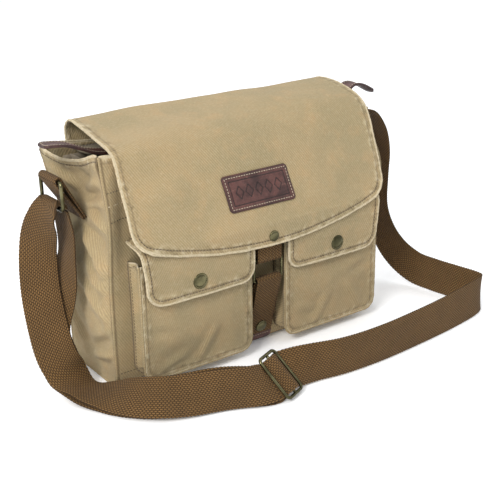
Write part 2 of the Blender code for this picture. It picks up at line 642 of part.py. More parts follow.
def outer_run():
    """From the left ring, down to the floor, through the adjuster and round to the right ring."""
    left_bar = (LEFT_RING_TOP[0], LEFT_RING_TOP[1] - RING_HEIGHT)
    stations = [(p, TOWARDS_FRONT) for p in arch(left_bar, STRAP_LOOP_RADIUS, 0, 180, 6)]
    stations += [
        (Vector((-0.2010, 0.0080, 0.1620)), Vector((0.35, -0.93, 0.05))),
        (Vector((-0.2030, 0.0190, 0.1320)), Vector((0.68, -0.73, 0.02))),
        (Vector((-0.2085, 0.0090, 0.0960)), Vector((0.80, -0.58, 0.12))),
    ]
    stations += DOUBLED_STRETCH
    stations += [
        (adjuster_point(-0.0140, -0.0034), ADJUSTER_ACROSS),
        (adjuster_point(-0.0096, -0.0021), ADJUSTER_ACROSS),
        (adjuster_point(-0.0056, 0.0034), ADJUSTER_ACROSS),
        (adjuster_point(0.0, 0.0060), ADJUSTER_ACROSS),
        (adjuster_point(0.0056, 0.0034), ADJUSTER_ACROSS),
        (adjuster_point(0.0096, -0.0021), ADJUSTER_ACROSS),
        (adjuster_point(0.0140, -0.0034), ADJUSTER_ACROSS),
        (Vector((-0.0050, -0.1480, 0.0195)), Vector((-0.20, 0.30, 0.92))),
        (Vector((0.0300, -0.1560, 0.0196)), Vector((-0.05, 0.12, 0.99))),
        (Vector((0.0750, -0.1580, 0.0196)), Vector((0.0, 0.10, 0.99))),
        (Vector((0.1250, -0.1550, 0.0196)), Vector((0.04, 0.14, 0.98))),
        (Vector((0.1750, -0.1500, 0.0196)), Vector((0.08, 0.20, 0.97))),
        (Vector((0.2200, -0.1430, 0.0196)), Vector((0.13, 0.26, 0.95))),
        (Vector((0.2440, -0.1370, 0.0196)), Vector((0.17, 0.24, 0.95))),
        (Vector((0.2555, -0.1290, 0.0196)), Vector((0.22, 0.18, 0.95))),
        (Vector((0.2570, -0.1170, 0.0196)), Vector((0.26, 0.10, 0.95))),
        (Vector((0.2540, -0.0950, 0.0196)), Vector((0.28, 0.03, 0.95))),
        (Vector((0.2500, -0.0650, 0.0196)), Vector((0.30, -0.02, 0.95))),
        (Vector((0.2450, -0.0360, 0.0225)), Vector((0.30, -0.25, 0.91))),
        (Vector((0.2340, -0.0150, 0.0400)), Vector((0.22, -0.62, 0.75))),
        (Vector((0.2220, -0.0040, 0.0680)), Vector((0.12, -0.90, 0.40))),
        (Vector((0.2140, 0.0, 0.1010)), Vector((0.03, -0.98, 0.12))),
        (Vector((0.2140, 0.0, 0.1380)), Vector((0.0, -1.0, 0.0))),
        (Vector((0.2150, 0.0, 0.1660)), Vector((0.0, -1.0, 0.0))),
        (Vector((0.2100, 0.0, 0.1900)), Vector((0.0, -1.0, 0.0))),
        (Vector((0.1990, 0.0, 0.2080)), Vector((0.0, -1.0, 0.0))),
        (Vector((0.1880, 0.0, 0.2168)), Vector((0.0, -1.0, 0.0))),
    ]
    bar = (RIGHT_RING_TOP[0] - 0.0014, RIGHT_RING_TOP[1])
    stations += [(p, TOWARDS_FRONT) for p in arch(bar, STRAP_LOOP_RADIUS, 80, 270, 7)]
    stations.append((Vector((0.1850, 0.0, 0.2068)), TOWARDS_FRONT))
    return stations


def standing_height(side):
    """Height of the strap's middle where its lower edge just clears the ground."""
    return abs(side.normalized().z) * STRAP_WIDTH / 2 + WEBBING


def behind(stations):
    """The same stretch, moved a strap's thickness and a little more towards the bag."""
    centres = [s[0] for s in stations]
    moved = []
    for i, (centre, side) in enumerate(stations):
        along = centres[min(i + 1, len(centres) - 1)] - centres[max(i - 1, 0)]
        place = centre - along.cross(side).normalized() * RUN_SPACING
        place.z = max(place.z, standing_height(side))
        moved.append((place, side))
    return moved


def inner_run():
    """From the adjuster's bar, behind the outer run, back up to the left ring."""
    bar_turn = ADJUSTER_WIRE_RADIUS + GAP + 0.0003 + WEBBING / 2
    stations = []
    for step in range(7):
        turn = pi * step / 6
        stations.append((adjuster_point(bar_turn * sin(turn), bar_turn * cos(turn)), ADJUSTER_ACROSS))
    stations += [
        (adjuster_point(-0.0080, -0.0052), ADJUSTER_ACROSS),
        (adjuster_point(-0.0170, -0.0082), ADJUSTER_ACROSS),
    ]
    stations += behind(DOUBLED_STRETCH)[-2::-1]
    stations += [
        (Vector((-0.1965, 0.0010, 0.0830)), Vector((0.66, -0.72, 0.22))),
        (Vector((-0.1885, 0.0010, 0.1040)), Vector((0.35, -0.93, 0.10))),
        (Vector((-0.1830, 0.0, 0.1250)), TOWARDS_FRONT),
        (Vector((-0.1822, 0.0, 0.1530)), TOWARDS_FRONT),
        (Vector((-0.1864, 0.0, 0.1765)), TOWARDS_FRONT),
    ]
    return stations


def make_strap():
    ribbon("strap_outer_run", outer_run(), "webbing")
    ribbon("strap_inner_run", inner_run(), "webbing")
    frame = rounded_rectangle(ADJUSTER_HALF_WIDTH, ADJUSTER_HALF_LENGTH, 0.004, 3)
    loop = [ADJUSTER_CENTRE + ADJUSTER_ALONG * u + ADJUSTER_ACROSS * v for u, v in frame]
    wire("adjuster_frame", loop, ADJUSTER_WIRE_RADIUS, "brass", closed=True)
    reach = ADJUSTER_ACROSS * (ADJUSTER_HALF_LENGTH - ADJUSTER_WIRE_RADIUS - GAP)
    ends = [ADJUSTER_CENTRE - reach, ADJUSTER_CENTRE + reach]
    wire("adjuster_bar", ends, ADJUSTER_WIRE_RADIUS, "brass")


# ---------------------------------------------------------------- assembly

make_body()
make_lining()
make_zip()
make_zip_end_tabs()
make_flap()
for pocket_side, pocket_name in ((-1, "left"), (1, "right")):
    make_pocket(pocket_side, pocket_name)
make_closure()
make_side("left", LEFT_TAB_SEAM, LEFT_RING_TOP,
          (LEFT_RING_TOP[0], LEFT_RING_TOP[1] - RING_HEIGHT), "ring_left_axis")
make_side("right", RIGHT_TAB_SEAM, RIGHT_RING_LOW, RIGHT_RING_TOP, "ring_right_axis")
make_strap()
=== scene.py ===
"""Looks of the canvas messenger bag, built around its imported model, in metres and in the model's frame."""
import json
from bisect import bisect_right
from math import cos, exp, pi, radians, sin, sqrt

import bmesh
import bpy
from mathutils import Matrix, Vector, noise
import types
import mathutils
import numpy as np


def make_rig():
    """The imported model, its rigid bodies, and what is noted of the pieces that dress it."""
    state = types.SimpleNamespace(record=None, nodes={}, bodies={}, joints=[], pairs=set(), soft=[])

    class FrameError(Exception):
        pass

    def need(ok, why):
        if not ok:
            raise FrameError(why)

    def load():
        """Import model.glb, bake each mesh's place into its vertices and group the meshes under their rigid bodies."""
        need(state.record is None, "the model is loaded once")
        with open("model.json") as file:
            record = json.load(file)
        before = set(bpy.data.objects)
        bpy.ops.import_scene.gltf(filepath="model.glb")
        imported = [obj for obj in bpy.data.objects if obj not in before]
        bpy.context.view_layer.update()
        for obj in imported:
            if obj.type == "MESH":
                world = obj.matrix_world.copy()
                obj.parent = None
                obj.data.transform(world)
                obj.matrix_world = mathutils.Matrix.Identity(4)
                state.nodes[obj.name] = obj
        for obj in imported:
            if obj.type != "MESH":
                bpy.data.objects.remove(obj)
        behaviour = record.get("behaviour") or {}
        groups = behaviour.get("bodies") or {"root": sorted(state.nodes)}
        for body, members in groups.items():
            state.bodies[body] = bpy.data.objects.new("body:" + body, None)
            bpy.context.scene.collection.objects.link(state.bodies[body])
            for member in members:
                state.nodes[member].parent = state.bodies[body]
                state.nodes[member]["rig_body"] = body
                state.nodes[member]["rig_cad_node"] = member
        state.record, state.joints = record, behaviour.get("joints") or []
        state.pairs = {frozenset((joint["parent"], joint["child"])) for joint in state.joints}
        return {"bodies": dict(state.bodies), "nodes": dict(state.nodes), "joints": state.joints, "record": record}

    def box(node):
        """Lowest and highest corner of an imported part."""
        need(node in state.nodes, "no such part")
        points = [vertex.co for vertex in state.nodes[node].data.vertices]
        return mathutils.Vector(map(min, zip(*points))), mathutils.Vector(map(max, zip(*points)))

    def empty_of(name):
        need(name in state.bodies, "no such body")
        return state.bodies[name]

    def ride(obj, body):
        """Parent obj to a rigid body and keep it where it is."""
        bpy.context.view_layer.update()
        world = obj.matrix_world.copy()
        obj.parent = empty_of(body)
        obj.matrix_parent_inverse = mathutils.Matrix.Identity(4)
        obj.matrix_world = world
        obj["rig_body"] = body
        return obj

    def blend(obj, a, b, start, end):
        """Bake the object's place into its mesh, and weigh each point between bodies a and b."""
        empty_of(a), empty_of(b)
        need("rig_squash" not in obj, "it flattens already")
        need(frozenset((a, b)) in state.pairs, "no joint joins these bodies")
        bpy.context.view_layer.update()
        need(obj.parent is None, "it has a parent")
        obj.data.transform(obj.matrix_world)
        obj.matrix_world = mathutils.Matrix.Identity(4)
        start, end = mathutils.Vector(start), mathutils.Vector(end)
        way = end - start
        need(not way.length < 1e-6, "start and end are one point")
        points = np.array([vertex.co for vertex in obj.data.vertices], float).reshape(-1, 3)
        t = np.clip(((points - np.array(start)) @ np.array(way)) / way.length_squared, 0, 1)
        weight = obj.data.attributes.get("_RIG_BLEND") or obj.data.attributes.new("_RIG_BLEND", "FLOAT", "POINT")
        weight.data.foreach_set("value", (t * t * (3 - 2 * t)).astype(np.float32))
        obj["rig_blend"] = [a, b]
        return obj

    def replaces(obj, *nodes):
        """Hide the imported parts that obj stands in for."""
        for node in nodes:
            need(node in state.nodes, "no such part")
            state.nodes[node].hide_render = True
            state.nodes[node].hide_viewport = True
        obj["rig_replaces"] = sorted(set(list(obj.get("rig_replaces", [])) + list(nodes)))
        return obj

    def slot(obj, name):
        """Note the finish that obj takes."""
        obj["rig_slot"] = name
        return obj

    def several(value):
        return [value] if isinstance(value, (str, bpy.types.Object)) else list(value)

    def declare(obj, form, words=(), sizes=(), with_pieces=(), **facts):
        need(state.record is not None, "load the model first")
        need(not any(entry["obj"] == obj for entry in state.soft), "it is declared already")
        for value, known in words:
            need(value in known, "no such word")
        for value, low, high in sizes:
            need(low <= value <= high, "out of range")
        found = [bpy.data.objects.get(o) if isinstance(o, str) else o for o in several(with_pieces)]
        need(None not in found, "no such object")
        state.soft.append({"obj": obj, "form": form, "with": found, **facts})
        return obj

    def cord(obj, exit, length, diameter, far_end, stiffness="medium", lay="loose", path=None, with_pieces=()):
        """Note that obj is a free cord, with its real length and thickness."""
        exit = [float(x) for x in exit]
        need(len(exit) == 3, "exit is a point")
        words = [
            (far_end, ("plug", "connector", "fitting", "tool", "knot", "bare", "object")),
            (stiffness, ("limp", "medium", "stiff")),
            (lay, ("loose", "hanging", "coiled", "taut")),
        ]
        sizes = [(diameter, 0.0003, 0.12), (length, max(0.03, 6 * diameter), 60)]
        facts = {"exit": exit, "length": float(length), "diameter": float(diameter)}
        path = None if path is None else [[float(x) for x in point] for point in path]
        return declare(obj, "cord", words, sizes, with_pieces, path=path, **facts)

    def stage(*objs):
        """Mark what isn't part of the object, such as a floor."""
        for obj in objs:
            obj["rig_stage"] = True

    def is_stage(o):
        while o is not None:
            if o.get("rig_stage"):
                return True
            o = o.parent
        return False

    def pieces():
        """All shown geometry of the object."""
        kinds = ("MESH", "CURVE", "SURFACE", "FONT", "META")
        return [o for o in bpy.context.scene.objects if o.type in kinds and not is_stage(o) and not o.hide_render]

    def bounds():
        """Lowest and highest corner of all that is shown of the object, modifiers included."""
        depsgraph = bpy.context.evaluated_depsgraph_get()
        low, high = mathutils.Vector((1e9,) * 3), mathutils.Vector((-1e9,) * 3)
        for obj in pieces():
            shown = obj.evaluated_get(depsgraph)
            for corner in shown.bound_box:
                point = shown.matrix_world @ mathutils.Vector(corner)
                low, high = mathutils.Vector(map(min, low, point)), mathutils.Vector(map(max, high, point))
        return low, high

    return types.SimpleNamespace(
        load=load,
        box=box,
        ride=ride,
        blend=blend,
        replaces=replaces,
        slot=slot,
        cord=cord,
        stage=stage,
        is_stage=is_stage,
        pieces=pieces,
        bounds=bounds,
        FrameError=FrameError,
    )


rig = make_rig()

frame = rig.load()
cad_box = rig.bounds()

# ---------------------------------------------------------------- measures that several pieces share

BAG = "bag"
CANVAS_THICKNESS = 0.0016
STITCH_INSET = 0.0052     # from a raw edge to the stitches beside it
STITCH_PITCH = 0.0034
BEAD = 0.0032             # length of one yarn bead in the webbing
BEAD_ROW = 0.0018
FAR = 0.05                # the distance that stands for "no edge near"
NUDGE = 0.0004            # the step in which a cloth's slope is measured
LEATHER_STITCH_PITCH = 0.003
LINING_THICKNESS = 0.0008
TOWARDS_FRONT = Vector((0.0, -1.0, 0.0))
TO_THE_RIGHT = Vector((1.0, 0.0, 0.0))

# ---------------------------------------------------------------- camera, light and floor

CAMERA_AZIMUTH = radians(-35.77)
CAMERA_ELEVATION = radians(20.6)
CAMERA_ROLL = radians(-0.93)
CAMERA_DISTANCE = 0.989
CAMERA_TARGET = Vector((0.029, 0.0, 0.084))
LENS_MM = 65.85
FLOOR_REACH = 6.0


def make_camera():
    data = bpy.data.cameras.new("camera")
    data.lens = LENS_MM
    data.sensor_width = 36.0
    data.clip_start = 0.01
    camera = add_object("camera", data)
    level = cos(CAMERA_ELEVATION)
    back = Vector((sin(CAMERA_AZIMUTH) * level, -cos(CAMERA_AZIMUTH) * level, sin(CAMERA_ELEVATION)))
    right = Vector((cos(CAMERA_AZIMUTH), sin(CAMERA_AZIMUTH), 0.0))
    turn = Matrix((right, back.cross(right), back)).transposed() @ Matrix.Rotation(CAMERA_ROLL, 3, "Z")
    camera.matrix_world = Matrix.Translation(CAMERA_TARGET + back * CAMERA_DISTANCE) @ turn.to_4x4()
    bpy.context.scene.camera = camera


def add_object(name, data):
    obj = bpy.data.objects.new(name, data)
    bpy.context.scene.collection.objects.link(obj)
    return obj


def area_light(name, place, size, power, colour):
    data = bpy.data.lights.new(name, "AREA")
    data.size = size
    data.energy = power
    data.color = colour
    light = add_object(name, data)
    light.location = place
    aim = Vector((0.0, 0.0, 0.1)) - Vector(place)
    light.rotation_euler = aim.to_track_quat("-Z", "Y").to_euler()


def make_world():
    """A bright ceiling over darker walls, so that metal has something to show."""
    world = bpy.data.worlds.new("studio")
    world.use_nodes = True
    tree = world.node_tree
    background = tree.nodes["Background"]
    background.inputs["Color"].default_value = (0.97, 0.985, 1.0, 1.0)
    height = tree.nodes.new("ShaderNodeSeparateXYZ")
    tree.links.new(tree.nodes.new("ShaderNodeTexCoord").outputs["Generated"], height.inputs[0])
    brightness = tree.nodes.new("ShaderNodeMapRange")
    for socket, number in (("From Min", 0.05), ("From Max", 0.7), ("To Min", 0.42), ("To Max", 1.18)):
        brightness.inputs[socket].default_value = number
    tree.links.new(height.outputs["Z"], brightness.inputs["Value"])
    tree.links.new(brightness.outputs["Result"], background.inputs["Strength"])
    bpy.context.scene.world = world


def make_studio():
    make_world()
    bpy.context.scene.view_settings.view_transform = "Standard"
    area_light("key", (-1.7, -1.0, 1.6), 0.8, 44.0, (1.0, 0.975, 0.94))
    area_light("fill", (1.8, -0.9, 1.0), 1.4, 5.0, (0.95, 0.97, 1.0))
    area_light("rim", (0.4, 1.6, 1.4), 1.2, 7.0, (1.0, 1.0, 1.0))
    corners = [(-FLOOR_REACH, -FLOOR_REACH, 0.0), (FLOOR_REACH, -FLOOR_REACH, 0.0),
               (FLOOR_REACH, FLOOR_REACH, 0.0), (-FLOOR_REACH, FLOOR_REACH, 0.0)]
    mesh = build_mesh("floor", corners, [(0, 1, 2, 3)])
    floor_object = add_object("floor", mesh)
    floor_object.location.z = -0.0005
    paint = Finish("floor_paint", 0.55, (0.95, 0.955, 0.965))
    paint.join(paint.tone, paint.shader.inputs["Base Color"])
    paint.join((1.0, 1.0, 1.0), paint.shader.inputs["Emission Color"])
    paint.join(0.07, paint.shader.inputs["Emission Strength"])
    mesh.materials.append(paint.material)
    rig.stage(floor_object)


# ---------------------------------------------------------------- materials

class Finish:
    """A material, with short ways to add its nodes and join them."""

    def __init__(self, name, roughness, tone, metallic=0.0, sheen=0.0, specular=0.5):
        self.material = bpy.data.materials.new(name)
        self.material.use_nodes = True
        self.tree = self.material.node_tree
        self.shader = self.tree.nodes["Principled BSDF"]
        self.tone = tone
        self.roughness(roughness)
        self.join(metallic, self.shader.inputs["Metallic"])
        self.join(sheen, self.shader.inputs["Sheen Weight"])
        self.join(specular, self.shader.inputs["Specular IOR Level"])

    def join(self, source, socket):
        if isinstance(source, (int, float)):
            socket.default_value = source
        elif isinstance(source, tuple):
            socket.default_value = (*source, 1.0) if len(socket.default_value) == 4 else source
        else:
            self.tree.links.new(source, socket)

    def node(self, kind, **inputs):
        """A new node, with a value or another node's output on each named input."""
        node = self.tree.nodes.new("ShaderNode" + kind)
        for socket, source in inputs.items():
            self.join(source, node.inputs[socket])
        return node

    def roughness(self, source):
        self.join(source, self.shader.inputs["Roughness"])

    def coordinates(self, kind):
        return self.node("TexCoord").outputs[kind]

    def attribute(self, name):
        node = self.node("Attribute")
        node.attribute_name = name
        return node.outputs["Fac"]

    def mapped(self, vector, scale=(1.0, 1.0, 1.0), turn=0.0):
        return self.node("Mapping", Vector=vector, Rotation=(0.0, 0.0, turn), Scale=scale).outputs["Vector"]

    def split(self, vector):
        node = self.node("SeparateXYZ", Vector=vector)
        return node.outputs["X"], node.outputs["Y"]

    def noise(self, vector, scale, detail=3.0, rough=0.55):
        node = self.node("TexNoise", Vector=vector, Scale=scale, Detail=detail, Roughness=rough)
        return node.outputs["Fac"]

    def maths(self, operation, a, b=0.0):
        node = self.node("Math")
        node.operation = operation
        self.join(a, node.inputs[0])
        self.join(b, node.inputs[1])
        return node.outputs[0]

    def times(self, a, b):
        return self.maths("MULTIPLY", a, b)

    def sum(self, first, *others):
        for other in others:
            first = self.maths("ADD", first, other)
        return first

    def ramp(self, value, low, high, start=0.0, end=1.0):
        node = self.node("MapRange", Value=value)
        node.interpolation_type = "SMOOTHSTEP"
        for socket, number in zip(("From Min", "From Max", "To Min", "To Max"), (low, high, start, end)):
            node.inputs[socket].default_value = number
        return node.outputs["Result"]

    def ripple(self, value, period):
        """A sine of the value, from 0 to 1, with the given period in metres."""
        wave = self.maths("SINE", self.times(value, 2 * pi / period))
        return self.sum(self.times(wave, 0.5), 0.5)

    def cover(self, colour, factor):
        """Lay a colour over the tone so far."""
        node = self.node("Mix")
        node.data_type = "RGBA"
        for number, source in ((0, factor), (6, self.tone), (7, colour)):
            self.join(source, node.inputs[number])
        self.tone = node.outputs[2]

    def complete(self, height, depth):
        """Set the colour and a relief of that depth in metres, and hand over the material."""
        self.join(self.tone, self.shader.inputs["Base Color"])
        relief = self.node("Bump", Height=height, Distance=depth)
        self.join(relief.outputs["Normal"], self.shader.inputs["Normal"])
        return self.material


KHAKI = (0.385, 0.292, 0.158)
TAN = (0.43, 0.298, 0.152)
OLIVE = (0.32, 0.258, 0.142)
PALE = (0.56, 0.48, 0.335)
# dark brown, used for painted shade in the weave, the stitch grooves and the pucker hollows, and for the darker seams
SHADE_AND_GRIME = (0.1, 0.068, 0.036)


def canvas(name, worn=0.0):
    """Washed cotton twill, paler along raw edges and darker in seams, by the distances on the mesh; shade is painted
    into the gaps between yarns, the twill's troughs, the stitch grooves and the hollows of puckers, and a painted
    highlight, mixed with wear, onto pucker crests.
    """
    finish = Finish(name, 0.9, OLIVE, sheen=0.06, specular=0.2)
    flat, place = finish.coordinates("UV"), finish.coordinates("Object")
    edge, seam = finish.attribute("edge"), finish.attribute("seam")
    twill = finish.ripple(finish.split(finish.mapped(flat, turn=radians(32)))[0], 0.0022)
    yarns = [finish.noise(finish.mapped(flat, scale), 1.0, 2.0)
             for scale in ((240.0, 2600.0, 1.0), (2600.0, 240.0, 1.0))]
    yarn = finish.sum(finish.times(yarns[0], 0.5), finish.times(yarns[1], 0.5))
    patches = finish.noise(place, 55.0, 4.0, 0.6)
    speckle = finish.noise(place, 420.0, 3.0, 0.7)
    pucker = finish.noise(place, 150.0, 3.0, 0.6)
    near_edge = finish.ramp(edge, 0.0045, 0.013, 1.0, 0.0)
    groove = finish.maths("ABSOLUTE", finish.maths("SUBTRACT", edge, STITCH_INSET))

    finish.cover(KHAKI, finish.ramp(finish.noise(place, 13.0, 4.0, 0.6), 0.36, 0.66))
    finish.cover(TAN, finish.ramp(patches, 0.46, 0.8, 0.0, 0.7))
    finish.cover(PALE, finish.ramp(speckle, 0.42, 0.85, 0.0, 0.34))
    # painted shade: the gaps between yarns and the twill's troughs are darkened, where the relief below is lowest
    finish.cover(SHADE_AND_GRIME, finish.ramp(yarn, 0.33, 0.55, 0.24, 0.0))
    finish.cover(SHADE_AND_GRIME, finish.ramp(twill, 0.0, 1.0, 0.26, 0.0))
    finish.cover(PALE, finish.ramp(finish.sum(edge, finish.times(patches, -0.0016)), 0.0, 0.0011, 0.8, 0.0))
    # paler pucker crests near raw edges, partly wear and partly painted highlight; the pucker hollows get painted
    # shade
    finish.cover(PALE, finish.times(near_edge, finish.ramp(pucker, 0.5, 0.7, 0.0, 0.55)))
    finish.cover(SHADE_AND_GRIME, finish.times(near_edge, finish.ramp(pucker, 0.28, 0.48, 0.45, 0.0)))
    finish.cover(SHADE_AND_GRIME, finish.ramp(seam, 0.0008, 0.0034, 0.72, 0.0))
    # painted shade in the groove that the stitch line sinks into
    finish.cover(SHADE_AND_GRIME, finish.ramp(groove, 0.0, 0.0018, 0.34, 0.0))
    if worn:
        finish.cover(PALE, finish.ramp(speckle, 0.3, 0.62, worn * 0.4, worn))
    puckered = finish.maths("MAXIMUM", near_edge, finish.ramp(seam, 0.003, 0.018, 1.0, 0.12))
    height = finish.sum(finish.times(twill, 0.55), finish.times(yarn, 0.9),
                        finish.times(finish.noise(place, 1500.0, 2.0), 0.5),
                        finish.ramp(groove, 0.0, 0.0015, -1.2, 0.0), finish.times(patches, 1.8),
                        finish.times(finish.times(pucker, puckered), 5.0))
    return finish.complete(height, 0.00036)


def webbing(name):
    """Brown cotton webbing: rows of short yarn beads, each row half a bead out of step with the next; the beads'
    crowns are painted lighter as highlights and the gaps between them darker as shade.
    """
    finish = Finish(name, 0.85, (0.03, 0.015, 0.005), sheen=0.03, specular=0.2)
    along, across = finish.split(finish.coordinates("UV"))
    place = finish.coordinates("Object")
    row = finish.maths("DIVIDE", across, BEAD_ROW)
    step = finish.times(finish.maths("MODULO", finish.maths("FLOOR", row), 2.0), 0.5)
    phase = finish.maths("FRACT", finish.sum(finish.maths("DIVIDE", along, BEAD), step))
    crown = finish.maths("SINE", finish.times(phase, pi))
    side = finish.maths("SINE", finish.times(finish.maths("FRACT", row), pi))
    beads = finish.maths("POWER", finish.times(crown, side), 0.7)
    fibre = finish.noise(place, 2300.0, 2.0)
    # painted highlight on each bead's crown and painted shade in the gaps between beads
    finish.cover((0.19, 0.104, 0.036), finish.ramp(beads, 0.15, 0.85))
    finish.cover((0.34, 0.215, 0.095), finish.ramp(fibre, 0.55, 0.75, 0.0, 0.4))
    finish.cover((0.05, 0.03, 0.013), finish.ramp(finish.noise(place, 30.0, 4.0, 0.6), 0.3, 0.7, 0.28, 0.0))
    return finish.complete(finish.sum(beads, finish.times(fibre, 0.35)), 0.00085)


def leather(name):
    """Maroon leather, scuffed, and dark where it is cut or pressed."""
    finish = Finish(name, 0.5, (0.036, 0.013, 0.011), specular=0.45)
    place = finish.coordinates("Object")
    pores = finish.node("TexVoronoi", Vector=place, Scale=900.0)
    pores.feature = "DISTANCE_TO_EDGE"
    mottle = finish.noise(place, 70.0, 5.0, 0.65)
    scuff = finish.noise(finish.mapped(place, (60.0, 400.0, 60.0)), 1.0, 4.0, 0.7)
    finish.cover((0.105, 0.036, 0.028), finish.ramp(mottle, 0.32, 0.7))
    finish.cover((0.22, 0.105, 0.08), finish.ramp(scuff, 0.58, 0.75, 0.0, 0.55))
    finish.cover((0.02, 0.009, 0.008), finish.ramp(finish.attribute("edge"), 0.0, 0.0012, 0.55, 0.0))
    finish.cover((0.014, 0.006, 0.005), finish.ramp(finish.attribute("seam"), 0.0005, 0.001, 0.9, 0.0))
    finish.roughness(finish.ramp(mottle, 0.3, 0.7, 0.62, 0.42))
    height = finish.sum(finish.ramp(pores.outputs["Distance"], 0.0, 0.22), finish.times(mottle, 0.8))
    return finish.complete(height, 0.00016)


def brass(name, dark=(0.05, 0.047, 0.024), bright=(0.2, 0.18, 0.095), roughness=0.26):
    """Antique brass: a dark finish that is rubbed brighter in places."""
    finish = Finish(name, roughness, dark, metallic=1.0)
    place = finish.coordinates("Object")
    rubbed = finish.noise(place, 70.0, 3.0, 0.5)
    spots = finish.noise(place, 900.0, 2.0)
    finish.cover(bright, finish.ramp(rubbed, 0.25, 0.85))
    finish.cover(dark, finish.ramp(spots, 0.62, 0.8, 0.0, 0.4))
    finish.roughness(finish.ramp(rubbed, 0.3, 0.7, roughness + 0.1, roughness - 0.06))
    return finish.complete(spots, 0.00003)


def darker(colour, share):
    return tuple(c * share for c in colour)


def thread(name, colour):
    finish = Finish(name, 0.72, darker(colour, 0.6), sheen=0.1)
    twist = finish.noise(finish.coordinates("Object"), 2500.0, 2.0)
    finish.cover(colour, finish.ramp(twist, 0.35, 0.65))
    return finish.complete(twist, 0.0001)


def plain_weave(name, colour, pitch=0.0009):
    """Thin plain-woven cotton, for the lining and the zip's tape, with painted shade in the gaps between its yarns."""
    finish = Finish(name, 0.9, darker(colour, 0.75), sheen=0.1, specular=0.25)
    across, along = finish.split(finish.coordinates("UV"))
    checks = finish.times(finish.ripple(across, pitch), finish.ripple(along, pitch))
    finish.cover(colour, finish.ramp(finish.noise(finish.coordinates("Object"), 40.0, 4.0), 0.3, 0.7))
    # painted shade: darker where the checks dip between yarns
    finish.cover(darker(colour, 0.4), finish.ramp(checks, 0.0, 0.6, 0.45, 0.0))
    return finish.complete(checks, 0.0002)


CANVAS = canvas("canvas_twill")
WORN_EDGE = canvas("canvas_worn_edge", worn=0.85)
WEBBING = webbing("webbing_weave")
LEATHER = leather("leather_grain")
BRASS = brass("antique_brass")
ZIP_BRASS = brass("zip_brass", (0.11, 0.09, 0.045), (0.34, 0.29, 0.16), 0.3)
BROWN_THREAD = thread("brown_thread", (0.075, 0.045, 0.024))
CREAM_THREAD = thread("cream_thread", (0.56, 0.47, 0.34))
WEBBING_THREAD = thread("webbing_thread", (0.16, 0.09, 0.045))
LINING = plain_weave("lining_cotton", (0.3, 0.25, 0.18))
ZIP_TAPE = plain_weave("zip_tape_cotton", (0.24, 0.2, 0.13), 0.0012)

# ---------------------------------------------------------------- shape tools

def smooth_path(points, steps):
    """Points read from a smooth curve through the given ones."""
    points = [Vector(p) for p in points]
    ends = [2 * points[0] - points[1], *points, 2 * points[-1] - points[-2]]
    path = []
    for a, b, c, d in zip(ends, ends[1:], ends[2:], ends[3:]):
        for step in range(steps):
            t = step / steps
            path.append(0.5 * (2 * b + (c - a) * t + (2 * a - 5 * b + 4 * c - d) * t * t
                               + (3 * b - a - 3 * c + d) * t ** 3))
    path.append(points[-1])
    return path


def arc(centre, radius, start, end, steps):
    """Points of an arc in a plane; angles in degrees, from the plane's first axis."""
    angles = [radians(start + (end - start) * i / steps) for i in range(steps + 1)]
    return [(centre[0] + radius * cos(a), centre[1] + radius * sin(a)) for a in angles]


def ease(value, low, high):
    """0 below low, 1 above high and a smooth step between them."""
    t = min(1.0, max(0.0, (value - low) / (high - low)))
    return t * t * (3 - 2 * t)


def round_off(corner, inside):
    """How far a rounded corner has come in, at a distance inside the square it is cut from."""
    return corner - sqrt(max(0.0, corner ** 2 - max(0.0, inside) ** 2))


def hump(value, centre, width):
    return exp(-((value - centre) / width) ** 2)


def marks_along(points):
    """The distance along a line of points at each of them."""
    marks = [0.0]
    for a, b in zip(points, points[1:]):
        marks.append(marks[-1] + (b - a).length)
    return marks


class Route:
    """A smooth line through points, read by the distance along it."""

    def __init__(self, points, steps=6):
        self.points = smooth_path(points, steps)
        self.marks = marks_along(self.points)
        self.length = self.marks[-1]

    def locate(self, distance):
        """Number of the point before that distance, and the share of the way to the next."""
        low = min(max(bisect_right(self.marks, distance) - 1, 0), len(self.marks) - 2)
        return low, (distance - self.marks[low]) / max(self.marks[low + 1] - self.marks[low], 1e-9)

    def at(self, distance):
        """The point at that distance; the ends carry on straight."""
        low, share = self.locate(distance)
        return self.points[low].lerp(self.points[low + 1], share)

    def direction(self, distance):
        return (self.at(distance + 0.001) - self.at(distance - 0.001)).normalized()

    def where(self, test):
        """The first distance whose point passes the test."""
        return next(m for m, p in zip(self.marks, self.points) if test(p))


def spaced(line, step):
    """The line's points again, evenly spaced."""
    route = Route(line, 1)
    count = max(2, round(route.length / step) + 1)
    return [route.at(distance) for distance in even(0.0, route.length, count)]


def directions(line):
    """The way that a line of points goes at each of them, from its neighbours."""
    line = [Vector(p) for p in line]
    return [(after - before).normalized() for before, after in zip([line[0], *line], [*line[1:], line[-1]])]


def inset(line, distance):
    """A flat line moved sideways: to its left for a positive distance."""
    return [(u - along.y * distance, v + along.x * distance) for (u, v), along in zip(line, directions(line))]


def gap_to(u, v, lines):
    """Distance from a flat point to the nearest of some flat lines."""
    best = FAR
    for line in lines:
        for (ax, ay), (bx, by) in zip(line, line[1:]):
            dx, dy = bx - ax, by - ay
            long = dx * dx + dy * dy or 1e-12
            t = min(1.0, max(0.0, ((u - ax) * dx + (v - ay) * dy) / long))
            away = (u - ax - t * dx) ** 2 + (v - ay - t * dy) ** 2
            if away < best * best:
                best = sqrt(away)
    return best


